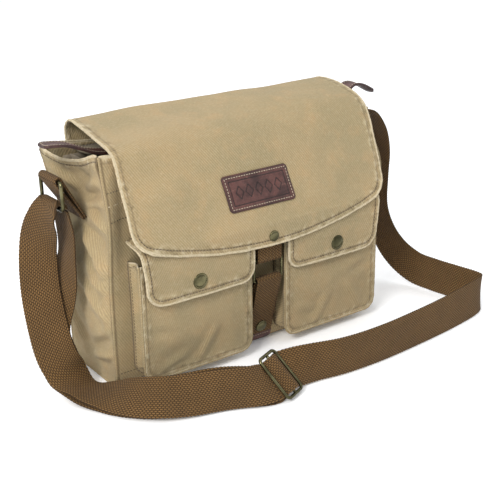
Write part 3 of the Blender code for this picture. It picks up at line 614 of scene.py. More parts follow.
def folds_at(u, v, folds):
    """Height of soft creases, each (start u, v, end u, v, width, height)."""
    height = 0.0
    for au, av, bu, bv, width, size in folds:
        du, dv = bu - au, bv - av
        t = ((u - au) * du + (v - av) * dv) / (du * du + dv * dv)
        off = abs((u - au) * dv - (v - av) * du) / sqrt(du * du + dv * dv)
        ends = ease(t, -0.25, 0.3) * (1 - ease(t, 0.7, 1.25))
        height += size * ends * (exp(-(off / width) ** 2) - 0.35 * exp(-((off - 2.1 * width) / width) ** 2))
    return height


def waves(point, size, height, seed=0.0):
    """Soft uneven ripples of about the given size."""
    return noise.noise(Vector(point) / size + Vector((seed, 2.7 * seed, 0.0))) * height


def build_mesh(name, points, faces, flats=(), distances=()):
    """A mesh, with flat coordinates as its UV and its distances to edges and seams where given."""
    mesh = bpy.data.meshes.new(name)
    mesh.from_pydata(points, [], faces)
    if flats:
        layer = mesh.uv_layers.new(name="flat")
        for loop in mesh.loops:
            layer.data[loop.index].uv = flats[loop.vertex_index]
    for attribute, values in zip(("edge", "seam"), distances):
        mesh.attributes.new(attribute, "FLOAT", "POINT").data.foreach_set("value", values)
    return mesh


def link_piece(name, mesh, material, body, slot):
    """Put a piece in the scene; its body is a name, or a crease between two bodies."""
    obj = add_object(name, mesh)
    mesh.materials.append(material)
    mesh.shade_smooth()
    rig.slot(obj, slot)
    if isinstance(body, tuple):
        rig.blend(obj, body[0], body[1], start=body[2], end=body[3])
    else:
        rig.ride(obj, body)
    return obj


def skin(first, rings, sides, flip=False, closed=False):
    """Faces of a tube made of rings of points, with its ends filled unless it closes on itself."""
    faces, total = [], rings * sides
    for r in range(rings if closed else rings - 1):
        for s in range(sides):
            a, b = r * sides + s, r * sides + (s + 1) % sides
            c, d = (b + sides) % total, (a + sides) % total
            faces.append((a, d, c, b) if flip else (a, b, c, d))
    if not closed:
        start, end = range(sides), range(total - sides, total)
        faces += [start, end[::-1]] if flip else [start[::-1], end]
    return [tuple(first + i for i in face) for face in faces]


def grid_mesh(name, rows, closed=False):
    """A sheet from rows of (point, flat u, flat v, edge distance, seam distance)."""
    columns, faces = len(rows[0]), []
    for r in range(len(rows) - 1):
        for c in range(columns if closed else columns - 1):
            a, b = r * columns + c, r * columns + (c + 1) % columns
            faces.append((a, b, b + columns, a + columns))
    points, us, vs, edges, seams = zip(*(knot for row in rows for knot in row))
    return build_mesh(name, points, faces, list(zip(us, vs)), (edges, seams))


class Cloth:
    """A flat pattern, in metres, and where each of its points (u, v) lies in space."""

    def __init__(self, place, outward=1.0, raw=(), seams=(), thickness=CANVAS_THICKNESS):
        self.place = place
        self.outward = outward
        self.raw = raw
        self.seams = seams
        self.thickness = thickness

    def at(self, u, v, lift=0.0):
        across = self.place(u + NUDGE, v) - self.place(u - NUDGE, v)
        along = self.place(u, v + NUDGE) - self.place(u, v - NUDGE)
        normal = across.cross(along).normalized() * self.outward
        return self.place(u, v) + normal * lift, normal

    def make(self, name, rows, body=BAG, material=CANVAS, slot="canvas"):
        knots = [[(self.place(u, v), u, v, gap_to(u, v, self.raw), gap_to(u, v, self.seams))
                  for u, v in row] for row in rows]
        obj = link_piece(name, grid_mesh(name, knots), material, body, slot)
        solid = obj.modifiers.new("thickness", "SOLIDIFY")
        solid.thickness = self.thickness
        solid.offset = 0.0
        return obj

    def line(self, flat_line, step, lift=0.0):
        return [self.at(p.x, p.y, lift) for p in spaced([(u, v) for u, v in flat_line], step)]

    def stitch(self, name, flat_lines, body, material=BROWN_THREAD, slot="canvas", pitch=STITCH_PITCH):
        lift = self.thickness / 2 + 0.00012
        lines = [self.line(line, pitch / 4, lift) for line in flat_lines]
        return stitches(name, lines, body, material, slot, pitch)

    def roll(self, name, flat_lines, body, radius=0.0012, material=WORN_EDGE):
        """A thick frayed hem along flat lines."""
        lines = [[p for p, _ in self.line(line, 0.0022)] for line in flat_lines]
        return tubes(name, lines, radius, material, body, "canvas", ragged=0.16)


def even(low, high, count):
    return [low + (high - low) * i / (count - 1) for i in range(count)]


def flat_grid(us, vs):
    return [[(u, v) for u in us] for v in vs]


def tubes(name, lines, radius, material, body, slot, sides=8, ragged=0.0, closed=False):
    """Round cords along one or more lines, joined into one piece with closed ends."""
    points, faces, flats = [], [], []
    for line in lines:
        faces += skin(len(points), len(line), sides, True, closed)
        normal, travelled = None, 0.0
        last = len(line) - 1
        for i, point in enumerate(line):
            before = line[i - 1] if closed or i else line[0]
            after = line[i + 1] if i < last else line[0 if closed else last]
            along = (after - before).normalized()
            if normal is None:
                normal = along.orthogonal().normalized()
            normal = (normal - along * normal.dot(along)).normalized()
            second = along.cross(normal)
            if i:
                travelled += (point - line[i - 1]).length
            size = radius * (1 + ragged * noise.noise(point * 420.0) * 2)
            for turn in (2 * pi * s / sides for s in range(sides)):
                points.append(point + (normal * cos(turn) + second * sin(turn)) * size)
                flats.append((travelled, radius * turn))
    mesh = build_mesh(name, points, faces, flats, [[FAR] * len(points)] * 2)
    return link_piece(name, mesh, material, body, slot)


def stitches(name, lines, body, material, slot, pitch=STITCH_PITCH):
    """Dashes of thread along lines of (point, normal) that are a quarter of a pitch apart."""
    points, faces = [], []
    sides, radius, share = 6, 0.00034, 0.66
    sections = ((0.0, 0.45), (0.2, 1.0), (0.8, 1.0), (1.0, 0.45))
    for line in lines:
        for start in range(0, len(line) - 4, 4):
            place, normal = line[start]
            along = (line[start + 3][0] - place).normalized()
            across = along.cross(normal).normalized()
            faces += skin(len(points), len(sections), sides)
            for distance, size in sections:
                middle = place + along * distance * pitch * share
                for turn in (2 * pi * s / sides for s in range(sides)):
                    points.append(middle + across * cos(turn) * radius * size
                                  + normal * sin(turn) * radius * 0.8 * size)
    return link_piece(name, build_mesh(name, points, faces), material, body, slot)


def rounded_rectangle(half_x, half_y, radius, steps=8):
    points = []
    for x, y, start in ((1, 1, 0), (-1, 1, 90), (-1, -1, 180), (1, -1, 270)):
        points += arc((x * (half_x - radius), y * (half_y - radius)), radius, start, start + 90, steps)
    return points


def lathe(name, profile, centre, axis, material, body, slot, steps=40):
    """A turned piece: (radius, height) pairs from its crown to its flat back, along an axis."""
    first = axis.orthogonal().normalized()
    second = axis.cross(first)
    points = [centre + axis * height + (first * cos(turn) + second * sin(turn)) * max(radius, 0.00002)
              for radius, height in profile for turn in (2 * pi * s / steps for s in range(steps))]
    mesh = build_mesh(name, points, skin(0, len(profile), steps, True))
    obj = link_piece(name, mesh, material, body, slot)
    mesh.set_sharp_from_angle(angle=radians(40))
    return obj


# ---------------------------------------------------------------- shoulder strap

STRAP_WIDTH = 0.038
WEBBING_THICKNESS = 0.0018
STRAP_LOOP_RADIUS = 0.0056
RUN_SPACING = 0.005
STRAP_STEPS = 10
SELVEDGE_STEP = 0.00022
STRAP_FLOOR_GAP = 0.0002
STRAP_RING_WIDTH = 0.044
TAB_SPREAD = 0.0011       # half the distance between a doubled strap's two layers at its seam
WIRE = 0.0018
LEFT_BAR = (-0.192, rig.box("strap_ring_left")[0].z + WIRE)
RIGHT_BAR = (0.1775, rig.box("strap_ring_right")[1].z - WIRE)

ADJUSTER_CENTRE = Vector((-0.045, -0.149, 0.0205))
ADJUSTER_ALONG = Vector((0.93, 0.36, 0.04)).normalized()
ADJUSTER_ACROSS = Vector((-0.36, 0.62, 0.7))
ADJUSTER_ACROSS = (ADJUSTER_ACROSS - ADJUSTER_ACROSS.dot(ADJUSTER_ALONG) * ADJUSTER_ALONG).normalized()
ADJUSTER_FACE = ADJUSTER_ALONG.cross(ADJUSTER_ACROSS)
ADJUSTER_HALF_LENGTH = 0.0225
ADJUSTER_HALF_WIDTH = 0.0125
ADJUSTER_WIRE = 0.0016

# Each station is a middle point and the direction from the strap's lower to its upper edge
DOUBLED_STRETCH = [
    ((-0.212, -0.01, 0.06), (0.82, -0.56, 0.05)),
    ((-0.2105, -0.021, 0.037), (0.84, -0.44, 0.05)),
    ((-0.202, -0.029, 0.018), (0.92, -0.05, -0.05)),
    ((-0.195, -0.044, 0.0088), (0.76, 0.5, -0.06)),
    ((-0.184, -0.068, 0.011), (0.55, 0.8, 0.16)),
    ((-0.1725, -0.095, 0.0165), (0.4, 0.62, 0.54)),
    ((-0.156, -0.116, 0.0195), (0.16, 0.56, 0.78)),
    ((-0.133, -0.128, 0.019), (0.05, 0.48, 0.85)),
    ((-0.105, -0.1385, 0.0192), (-0.04, 0.36, 0.92)),
    ((-0.08, -0.15, 0.0196), (-0.18, 0.38, 0.88)),
]
DOWN_FROM_LEFT_RING = [
    ((-0.201, 0.008, 0.162), (0.35, -0.93, 0.05)),
    ((-0.203, 0.019, 0.132), (0.68, -0.73, 0.02)),
    ((-0.2085, 0.009, 0.096), (0.8, -0.58, 0.12)),
]
ROUND_TO_RIGHT_RING = [
    ((-0.005, -0.148, 0.0195), (-0.2, 0.3, 0.92)),
    ((0.03, -0.156, 0.0196), (-0.05, 0.12, 0.99)),
    ((0.075, -0.158, 0.0196), (0.0, 0.1, 0.99)),
    ((0.125, -0.155, 0.0196), (0.04, 0.14, 0.98)),
    ((0.175, -0.15, 0.0196), (0.08, 0.2, 0.97)),
    ((0.22, -0.143, 0.0196), (0.13, 0.26, 0.95)),
    ((0.244, -0.137, 0.0196), (0.17, 0.24, 0.95)),
    ((0.2555, -0.129, 0.0196), (0.22, 0.18, 0.95)),
    ((0.257, -0.117, 0.0196), (0.26, 0.1, 0.95)),
    ((0.254, -0.095, 0.0196), (0.28, 0.03, 0.95)),
    ((0.25, -0.065, 0.0196), (0.3, -0.02, 0.95)),
    ((0.245, -0.036, 0.0225), (0.3, -0.25, 0.91)),
    ((0.234, -0.015, 0.04), (0.22, -0.62, 0.75)),
    ((0.222, -0.004, 0.068), (0.12, -0.9, 0.4)),
    ((0.214, 0.0, 0.101), (0.03, -0.98, 0.12)),
    ((0.214, 0.0, 0.138), TOWARDS_FRONT),
    ((0.215, 0.0, 0.166), TOWARDS_FRONT),
    ((0.21, 0.0, 0.19), TOWARDS_FRONT),
    ((0.199, 0.0, 0.208), TOWARDS_FRONT),
    ((0.188, 0.0, 0.2168), TOWARDS_FRONT),
]
UP_TO_LEFT_RING = [
    ((-0.1965, 0.001, 0.083), (0.66, -0.72, 0.22)),
    ((-0.1885, 0.001, 0.104), (0.35, -0.93, 0.1)),
    ((-0.183, 0.0, 0.125), TOWARDS_FRONT),
    ((-0.1822, 0.0, 0.153), TOWARDS_FRONT),
    ((-0.1864, 0.0, 0.1765), TOWARDS_FRONT),
]


def arch(centre, radius, start, end, steps):
    """Points in the XZ plane at y = 0."""
    return [Vector((x, 0.0, z)) for x, z in arc(centre, radius, start, end, steps)]


def adjuster_point(along, out):
    return ADJUSTER_CENTRE + ADJUSTER_ALONG * along + ADJUSTER_FACE * out


def outer_run():
    """From the left ring, down to the floor, through the adjuster and round to the right ring."""
    stations = [(p, TOWARDS_FRONT) for p in arch(LEFT_BAR, STRAP_LOOP_RADIUS, 0, 180, 6)]
    stations += DOWN_FROM_LEFT_RING + DOUBLED_STRETCH
    stations += [(adjuster_point(along, out), ADJUSTER_ACROSS)
                 for along, out in ((-0.014, -0.0034), (-0.0096, -0.0021), (-0.0056, 0.0034), (0.0, 0.006),
                                    (0.0056, 0.0034), (0.0096, -0.0021), (0.014, -0.0034))]
    stations += ROUND_TO_RIGHT_RING
    bar = (RIGHT_BAR[0] - 0.0014, RIGHT_BAR[1])
    stations += [(p, TOWARDS_FRONT) for p in arch(bar, STRAP_LOOP_RADIUS, 80, 270, 7)]
    stations.append(((0.185, 0.0, 0.2068), TOWARDS_FRONT))
    return stations


def standing_height(side):
    """Height of the strap's middle where its lower edge just clears the ground."""
    return abs(side.normalized().z) * STRAP_WIDTH / 2 + WEBBING_THICKNESS


def behind(stations):
    """The same stretch, moved a strap's thickness and a little more towards the bag."""
    moved = []
    for (centre, side), along in zip(stations, directions([centre for centre, _ in stations])):
        side = Vector(side)
        place = Vector(centre) - along.cross(side).normalized() * RUN_SPACING
        place.z = max(place.z, standing_height(side))
        moved.append((place, side))
    return moved


def inner_run():
    """From the adjuster's bar, behind the outer run, back up to the left ring."""
    bar_turn = ADJUSTER_WIRE + 0.0006 + WEBBING_THICKNESS / 2
    turns = [pi * step / 6 for step in range(7)]
    on_adjuster = [(bar_turn * sin(turn), bar_turn * cos(turn)) for turn in turns]
    on_adjuster += [(-0.008, -0.0052), (-0.017, -0.0082)]
    stations = [(adjuster_point(along, out), ADJUSTER_ACROSS) for along, out in on_adjuster]
    return stations + behind(DOUBLED_STRETCH)[-2::-1] + UP_TO_LEFT_RING


def ribbon_section(width):
    """Half-offsets (across, out) round a flat strap with rounded edges."""
    half, deep = width / 2, WEBBING_THICKNESS / 2
    flat = [half - deep, half * 0.66, half * 0.33, 0.0, -half * 0.33, -half * 0.66, -half + deep]
    tip = half - deep * 0.25
    section = [(x, deep) for x in flat] + [(-tip, deep * 0.62), (-half, 0.0), (-tip, -deep * 0.62)]
    section += [(x, -deep) for x in reversed(flat)]
    return section + [(tip, -deep * 0.62), (half, 0.0), (tip, deep * 0.62)]


def ribbon(name, centres, sides, width):
    """Webbing along a line: its selvedges step out and in with every yarn."""
    section = ribbon_section(width)
    rows = []
    for centre, side, along, travelled in zip(centres, sides, directions(centres), marks_along(centres)):
        across = (side - along * side.dot(along)).normalized()
        out = along.cross(across)
        edge = SELVEDGE_STEP * sin(2 * pi * travelled / BEAD)
        ring = []
        for x, y in section:
            reach = x + (edge if x > 0 else -edge) * (abs(x) > width * 0.4)
            place = centre + across * reach + out * y
            place.z = max(place.z, STRAP_FLOOR_GAP)
            ring.append((place, travelled, x + width / 2, FAR, FAR))
        rows.append(ring)
    mesh = grid_mesh(name, rows, closed=True)
    obj = link_piece(name, mesh, WEBBING, BAG, "webbing")
    close_ends(mesh, len(section), len(rows))
    return obj


def close_ends(mesh, sides, rings):
    """Fill the first and last ring of a tube."""
    shape = bmesh.new()
    shape.from_mesh(mesh)
    shape.verts.ensure_lookup_table()
    last = (rings - 1) * sides
    shape.faces.new([shape.verts[i] for i in reversed(range(sides))]).smooth = False
    shape.faces.new([shape.verts[last + i] for i in range(sides)]).smooth = False
    bmesh.ops.recalc_face_normals(shape, faces=shape.faces)
    shape.to_mesh(mesh)
    shape.free()


def strap_run(name, stations):
    """The strap through its stations, its line, and its length."""
    middle = Route([centre for centre, _ in stations], STRAP_STEPS)
    sides = smooth_path([side for _, side in stations], STRAP_STEPS)
    centres, turned = [], []
    for distance in even(0.0, middle.length, round(middle.length / (BEAD / 4)) + 1):
        low, share = middle.locate(distance)
        centres.append(middle.points[low].lerp(middle.points[low + 1], share))
        turned.append(sides[low].lerp(sides[low + 1], share))
    return ribbon(name, centres, turned, STRAP_WIDTH), centres, middle.length


def wire(name, points, radius, body, closed=True):
    return tubes(name, [points], radius, BRASS, body, "antique_brass", 14, closed=closed)


def wire_ring(name, low, high, across, half_width, corner, radius, body):
    """A rounded rectangle of wire between two bars, given as (x, y, z)."""
    low, high = Vector(low), Vector(high)
    up = (high - low).normalized()
    outline = rounded_rectangle(half_width, (high - low).length / 2, corner)
    return wire(name, [(low + high) / 2 + across * u + up * v for u, v in outline], radius, body)


def make_strap():
    outer, outer_path, outer_length = strap_run("shoulder_strap_outer_run", outer_run())
    inner, inner_path, inner_length = strap_run("shoulder_strap_inner_run", inner_run())
    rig.replaces(outer, "strap_outer_run")
    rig.replaces(inner, "strap_inner_run")
    loop = [ADJUSTER_CENTRE + ADJUSTER_ALONG * u + ADJUSTER_ACROSS * v
            for u, v in rounded_rectangle(ADJUSTER_HALF_WIDTH, ADJUSTER_HALF_LENGTH, 0.004)]
    slider = wire("strap_slider_frame", loop, ADJUSTER_WIRE, BAG)
    reach = ADJUSTER_ACROSS * (ADJUSTER_HALF_LENGTH - 0.0006)
    bar = wire("strap_slider_bar", spaced([ADJUSTER_CENTRE - reach, ADJUSTER_CENTRE + reach], 0.004),
               ADJUSTER_WIRE, BAG, closed=False)
    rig.replaces(slider, "adjuster_frame")
    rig.replaces(bar, "adjuster_bar")
    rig.cord(outer, exit=outer_path[0], length=round(outer_length, 3), diameter=STRAP_WIDTH,
            far_end="object", stiffness="limp", lay="loose", path=outer_path, with_pieces=[slider, bar])
    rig.cord(inner, exit=inner_path[-1], length=round(inner_length, 3), diameter=STRAP_WIDTH,
            far_end="object", stiffness="limp", lay="loose", path=inner_path)


# ---------------------------------------------------------------- body

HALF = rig.box("side_gusset_right")[1].x
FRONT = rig.box("front_panel")[0].y
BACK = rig.box("back_panel")[1].y
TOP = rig.box("back_panel")[1].z
FRONT_TOP = FRONT + 0.006
LEAN_START = 0.17
BASE_RADIUS = 0.015
LINING_GAP = 0.0042
LOW = 0.0008              # the lowest that the gussets' cloth reaches
# (from u, from the top edge, to u, to the top edge, width, height)
BACK_FOLDS = [
    (-0.15, 0.15, -0.06, 0.09, 0.016, 0.003), (0.15, 0.16, 0.05, 0.11, 0.018, 0.0028),
    (-0.12, 0.05, -0.04, 0.03, 0.012, -0.0024), (0.14, 0.04, 0.06, 0.06, 0.013, 0.0022),
    (-0.06, 0.185, 0.04, 0.175, 0.01, 0.0018), (-0.155, 0.2, -0.09, 0.18, 0.009, 0.0016),
]


def relax(point):
    """How the empty bag gives: its back corners flare and droop, and its front seams bow forward."""
    side = 1.0 if point.x > 0 else -1.0
    near_side = ease(abs(point.x), HALF - 0.06, HALF)
    behind_middle = ease(point.y, -0.02, BACK)
    high = ease(point.z, 0.15, TOP)
    flare = (0.014 if side < 0 else 0.006) * high * behind_middle * near_side
    droop = 0.001 * high * ease(point.y, 0.005, BACK) * near_side
    tucked = 0.0125 * ease(point.z, 0.165, TOP) * near_side * (1 - behind_middle) if side > 0 else 0.0
    at_front = ease(-point.y, 0.02, -FRONT) * ease(abs(point.x), HALF - 0.018, HALF)
    bow = 0.0065 * hump(point.z, 0.165, 0.045) * at_front
    return Vector((point.x + side * flare - tucked, point.y - bow, point.z - droop))


def body_outline(inward):
    """Side view of the wrap, from the top of the front, under the base, to the top of the back."""
    radius = BASE_RADIUS - inward
    toe = arc((FRONT + BASE_RADIUS, BASE_RADIUS), radius, 180, 270, 6)
    heel = arc((BACK - BASE_RADIUS, BASE_RADIUS), radius, 270, 360, 6)
    near, far = FRONT + inward, BACK - inward
    front = [(FRONT_TOP + inward, TOP), (near + 0.002, 0.196)]
    front += [(near, z) for z in (LEAN_START, 0.12, 0.06, 0.025)]
    back = [(far, z) for z in (0.025, 0.06, 0.12, 0.175, TOP)]
    return Route([(0.0, y, z) for y, z in front + toe + heel + back], 4)


def make_wrap():
    """Front, base and back in one loft, with seams where the gussets are set in."""
    outline = body_outline(CANVAS_THICKNESS / 2)
    long = outline.length
    back_folds = [(from_u, long - from_top, to_u, long - to_top, width, height)
                  for from_u, from_top, to_u, to_top, width, height in BACK_FOLDS]

    def place(u, v):
        point, ahead = outline.at(v), outline.direction(v)
        out = Vector((0.0, ahead.z, -ahead.y))
        free = 1 - ease(abs(u), HALF - 0.035, HALF - 0.002)
        standing = ease(point.z, 0.004, 0.04)
        if point.y > 0:
            swell = 0.004 * sin(pi * min(1.0, point.z / TOP)) + folds_at(u, v, back_folds)
            swell += waves((u, point.z, 0.0), 0.055, 0.0022, 3.0)
            sag = 0.0012 * ease(point.z, 0.17, TOP) * cos(pi * u / (2 * HALF))
            sag -= 0.0045 * ease(abs(u), 0.12, 0.16) * ease(point.z, 0.19, TOP)
        else:
            swell = waves((u, point.z, 0.0), 0.03, 0.0007, 5.0)
            sag = -0.006 * ease(abs(u), 0.135, 0.16) * ease(point.z, 0.2, TOP)
        return relax(Vector((u, point.y, point.z - sag)) + out * swell * free * standing)

    def across(v, margin):
        return [(margin - edge, v), (edge - margin, v)]

    def from_seams(v, near, far):
        return [[(s * (edge - near), v), (s * (edge - far), v)] for s in (-1, 1)]

    def v_at(z):
        return outline.where(lambda p: p.z <= z)

    edge = HALF - CANVAS_THICKNESS / 2
    seams = [[(s * edge, 0.0), (s * edge, long)] for s in (-1, 1)]
    tops = [across(0.0, 0.0), across(long, 0.0)]
    wrap = Cloth(place, outward=-1.0, raw=tops, seams=seams)
    piece = wrap.make("body_wrap", flat_grid(even(-edge, edge, 111), even(0.0, long, 160)))
    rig.replaces(piece, "front_panel", "back_panel", "bottom_panel")
    rows = [line for z in (0.196, 0.178, 0.172) for line in from_seams(v_at(z), 0.001, 0.026)]
    rows += [across(long - STITCH_INSET, 0.004), across(long - 0.0125, 0.004)]
    rows += [across(v_at(0.0165), 0.003), across(long - 0.209, 0.003)]
    wrap.stitch("body_wrap_stitches", rows, BAG)
    wrap.roll("body_top_edges", tops, BAG, 0.0011)
    wrap.roll("front_slip_pocket_edge", from_seams(v_at(0.19), 0.0, 0.03), BAG, 0.0009)
    welts = []
    for s in (-1, 1):
        line = [wrap.place(s * edge, v) + Vector((s * 0.0004, 0.0, 0.0)) for v in even(0.0, long, 260)]
        welts.append([Vector((p.x, p.y, max(p.z, 0.0012))) for p in line])
    tubes("body_seam_welts", welts, 0.0012, CANVAS, BAG, "canvas", ragged=0.12)


GUSSET_TOP = [(-0.044, 0.229), (-0.036, 0.2262), (-0.024, 0.222), (-0.01, 0.2185), (0.006, 0.2165),
              (0.02, 0.2178), (0.033, 0.2222), (0.045, 0.2272)]
GUSSET_FOLDS = [
    (-0.04, 0.205, -0.012, 0.192, 0.004, 0.0039), (0.034, 0.206, 0.004, 0.19, 0.005, 0.0039),
    (-0.048, 0.187, -0.014, 0.178, 0.0036, 0.0036), (-0.049, 0.16, -0.02, 0.171, 0.0034, 0.0033),
    (-0.048, 0.146, -0.012, 0.158, 0.0045, -0.003), (-0.047, 0.118, -0.01, 0.146, 0.0055, 0.0045),
    (0.038, 0.128, 0.006, 0.152, 0.0065, 0.0045), (-0.048, 0.101, -0.02, 0.109, 0.0036, 0.0027),
    (-0.047, 0.07, -0.002, 0.1, 0.006, 0.0039), (-0.048, 0.055, -0.014, 0.036, 0.004, -0.0036),
    (-0.048, 0.036, -0.006, 0.022, 0.0038, 0.0036), (0.034, 0.064, 0.01, 0.03, 0.006, 0.0039),
    (-0.03, 0.014, 0.026, 0.019, 0.004, 0.0021), (0.04, 0.1, 0.012, 0.085, 0.005, 0.0033),
    (0.04, 0.18, 0.014, 0.168, 0.0045, 0.0036),
]


def make_gusset(side, name):
    top = Route([(y, z, 0.0) for y, z in GUSSET_TOP])

    def top_at(u):
        low, high = 0.0, top.length
        for _ in range(22):
            middle = (low + high) / 2
            low, high = (middle, high) if top.at(middle).x < u else (low, middle)
        return top.at(low).y

    def place(u, v):
        share = (u - FRONT) / (BACK - FRONT)
        inward = round_off(BASE_RADIUS, BASE_RADIUS - v)
        lean = 0.006 * ease(v, LEAN_START, TOP) * (1 - share)
        y = FRONT + inward + (BACK - FRONT - 2 * inward) * share + lean
        free = ease(share, 0.0, 0.13) * (1 - ease(share, 0.86, 1.0)) * ease(v, 0.0, 0.03)
        out = 0.0065 * hump(v, 0.085, 0.055) - 0.0045 * hump(v, 0.192, 0.022) * hump(share, 0.5, 0.34)
        out += folds_at(u, v, GUSSET_FOLDS) + waves((u, v, 0.0), 0.026, 0.003, side * 4.0)
        out += waves((u, v, 0.0), 0.01, 0.0009, side * 2.0)
        hem = 0.0022 * ease(v, 0.205, 0.222)
        return relax(Vector((side * (HALF - CANVAS_THICKNESS / 2 + out * free + hem), y, max(v, LOW))))

    edges = FRONT + CANVAS_THICKNESS / 2, BACK - CANVAS_THICKNESS / 2
    rim = [(u, top_at(u)) for u in even(*edges, 61)]
    gusset = Cloth(place, outward=side, raw=[rim], seams=[[(u, 0.0), (u, 0.24)] for u in edges])
    rows = [[(u, LOW + (z - LOW) * t) for u, z in rim] for t in even(0.0, 1.0, 141)]
    piece = gusset.make("gusset_" + name, rows)
    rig.replaces(piece, "side_gusset_" + name)
    gusset.stitch("gusset_hem_stitches_" + name, [inset(rim, -STITCH_INSET)], BAG)
    gusset.roll("gusset_hem_" + name, [rim], BAG, 0.0011)
    if side > 0:
        row = edges[0] + 0.004
        gusset.stitch("gusset_seam_stitches_" + name, [[(row, 0.022), (row, 0.226)]], BAG)


def make_lining():
    """A thin inner bag, open at the top."""
    outline = body_outline(LINING_GAP)
    half = HALF - 0.005

    def wall(u, v):
        point = outline.at(v)
        slack = waves((u, point.y * 3, point.z), 0.035, 0.002, 8.0) * ease(point.z, 0.0, 0.03)
        toward = 1.0 if point.y < 0 else -1.0
        low = max(point.z - 0.01 * ease(point.z, 0.19, TOP), 0.0036)
        return Vector((u, point.y + toward * abs(slack), low))

    rows = flat_grid(even(-half, half, 70), even(0.0, outline.length, 90))
    piece = Cloth(wall, thickness=LINING_THICKNESS).make("lining_wrap", rows, BAG, LINING, "lining")
    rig.replaces(piece, "lining")
    for side, name in ((-1, "left"), (1, "right")):
        def end(u, v, side=side):
            inward = round_off(BASE_RADIUS, BASE_RADIUS - v) + LINING_GAP
            y = FRONT + inward + (BACK - FRONT - 2 * inward) * (u - FRONT) / (BACK - FRONT)
            slack = abs(waves((u, v, 0.0), 0.03, 0.0018, 9.0 + side)) + 0.0105 * hump(v, 0.19, 0.04)
            return Vector((side * (half - slack), y, v))

        rows = flat_grid(even(FRONT, BACK, 24), even(0.0036, 0.2125, 50))
        Cloth(end, thickness=LINING_THICKNESS).make("lining_end_" + name, rows, BAG, LINING, "lining")


# ---------------------------------------------------------------- zip across the mouth

ZIP_Z = sum(corner.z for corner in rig.box("zip_tape_front")) / 2
ZIP_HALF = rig.box("zip_tape_front")[1].x
TOOTH_PITCH = 0.0016
ON_LEATHER = {"material": CREAM_THREAD, "slot": "leather", "pitch": LEATHER_STITCH_PITCH}
# (x, z) along the middle of each end tab
LEFT_END_TAB = [(-0.136, 0.2205), (-0.15, 0.2225), (-0.163, 0.2275), (-0.178, 0.2325), (-0.198, 0.2345)]
RIGHT_END_TAB = [(0.136, 0.2205), (0.148, 0.225), (0.157, 0.2385), (0.167, 0.2455), (0.18, 0.244),
                 (0.198, 0.235)]


def zip_edge(toward):
    """The tape's toothed edge: along the middle where it is closed, and back to its own side where open."""
    outer = (FRONT_TOP + 0.0031) if toward > 0 else (BACK - 0.0031)
    open_y = outer + toward * 0.0125
    closed_y = -toward * 0.0026
    points = [(-ZIP_HALF + 0.004, closed_y), (-0.06, closed_y), (0.0, closed_y), (0.008, closed_y * 1.2),
              (0.018, closed_y + (open_y - closed_y) * 0.4), (0.03, closed_y + (open_y - closed_y) * 0.86),
              (0.044, open_y), (0.09, open_y - toward * 0.001), (ZIP_HALF, open_y)]
    return Route([(x, y, 0.0) for x, y in points]), outer


def make_zip():
    for name, toward in (("front", 1), ("back", -1)):
        edge, outer = zip_edge(toward)
        xs = even(-ZIP_HALF, ZIP_HALF, 90)
        inner = [next((p.y for p in edge.points if p.x >= x), edge.points[-1].y) for x in xs]

        def place(u, v, outer=outer):
            drop = 0.0012 * sin(pi * min(1.0, abs(v - outer) / 0.03)) + waves((u, v, 0.0), 0.02, 0.0008, 2.0)
            return Vector((u, v, ZIP_Z - max(0.0, drop) * 0.6))

        rows = [[(x, outer + (y - toward * 0.0016 - outer) * t) for x, y in zip(xs, inner)]
                for t in even(0.0, 1.0, 12)]
        tape = Cloth(place, thickness=0.0012)
        piece = tape.make("zip_tape_cloth_" + name, rows, BAG, ZIP_TAPE, "zip_tape")
        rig.replaces(piece, "zip_tape_" + name)
        row = outer + toward * 0.003
        tape.stitch("zip_tape_stitches_" + name, [[(-ZIP_HALF + 0.002, row), (ZIP_HALF - 0.002, row)]],
                    BAG, slot="zip_tape")
        make_teeth(name, edge, toward)


def make_teeth(name, edge, toward):
    """A row of brass teeth along the tape's edge, half a pitch out of step with the other row."""
    half_tooth, deep, tall = 0.00048, 0.0021, 0.0011
    section = ((-deep, tall * 0.7), (deep * 0.3, tall), (deep, tall * 0.6), (deep, -tall * 0.6),
               (deep * 0.3, -tall), (-deep, -tall * 0.7))
    points, faces = [], []
    for i in range(int(edge.length / TOOTH_PITCH)):
        distance = TOOTH_PITCH * (i + (0.5 if toward > 0 else 0.0))
        place = edge.at(distance)
        along = (edge.at(distance + 0.0008) - place).normalized()
        across = Vector((-along.y, along.x, 0.0)) * toward
        faces += skin(len(points), 2, len(section))
        for u in (-half_tooth, half_tooth):
            for v, w in section:
                at = place + along * u + across * v
                points.append((at.x, at.y, ZIP_Z + w))
    mesh = build_mesh("zip_teeth_row_" + name, points, faces)
    obj = link_piece("zip_teeth_row_" + name, mesh, ZIP_BRASS, BAG, "zip_metal")
    mesh.set_sharp_from_angle(angle=radians(30))
    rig.replaces(obj, "zip_teeth_" + name)


def make_zip_end_tabs():
    """Folded leather ends of the zip, which stand out past both gussets."""
    for name, line, outward in (("left", LEFT_END_TAB, 1.0), ("right", RIGHT_END_TAB, -1.0)):
        path = Route([(x, 0.0, z) for x, z in line])
        long, half, corner = path.length, 0.01, 0.003

        def place(u, v, path=path):
            point = path.at(v)
            cup = 0.0016 * (u / 0.01) ** 2 * ease(v, 0.0, path.length * 0.7)
            return Vector((point.x, u, point.z + cup))

        ring = [(-half, 0.0), (-half, long - corner), (-half + corner, long),
                (half - corner, long), (half, long - corner), (half, 0.0)]
        tab = Cloth(place, outward=outward, raw=[ring], thickness=0.0026)
        rows = []
        for v in even(0.0, long, 40):
            reach = half - corner * ease(v, long - 0.004, long)
            rows.append([(u, v) for u in even(-reach, reach, 13)])
        leather_strip("zip_end_leather_" + name, "zip_end_tab_" + name, tab, rows, 0.0006,
                      "zip_end_stitches_" + name, [inset(ring, -0.0022)])


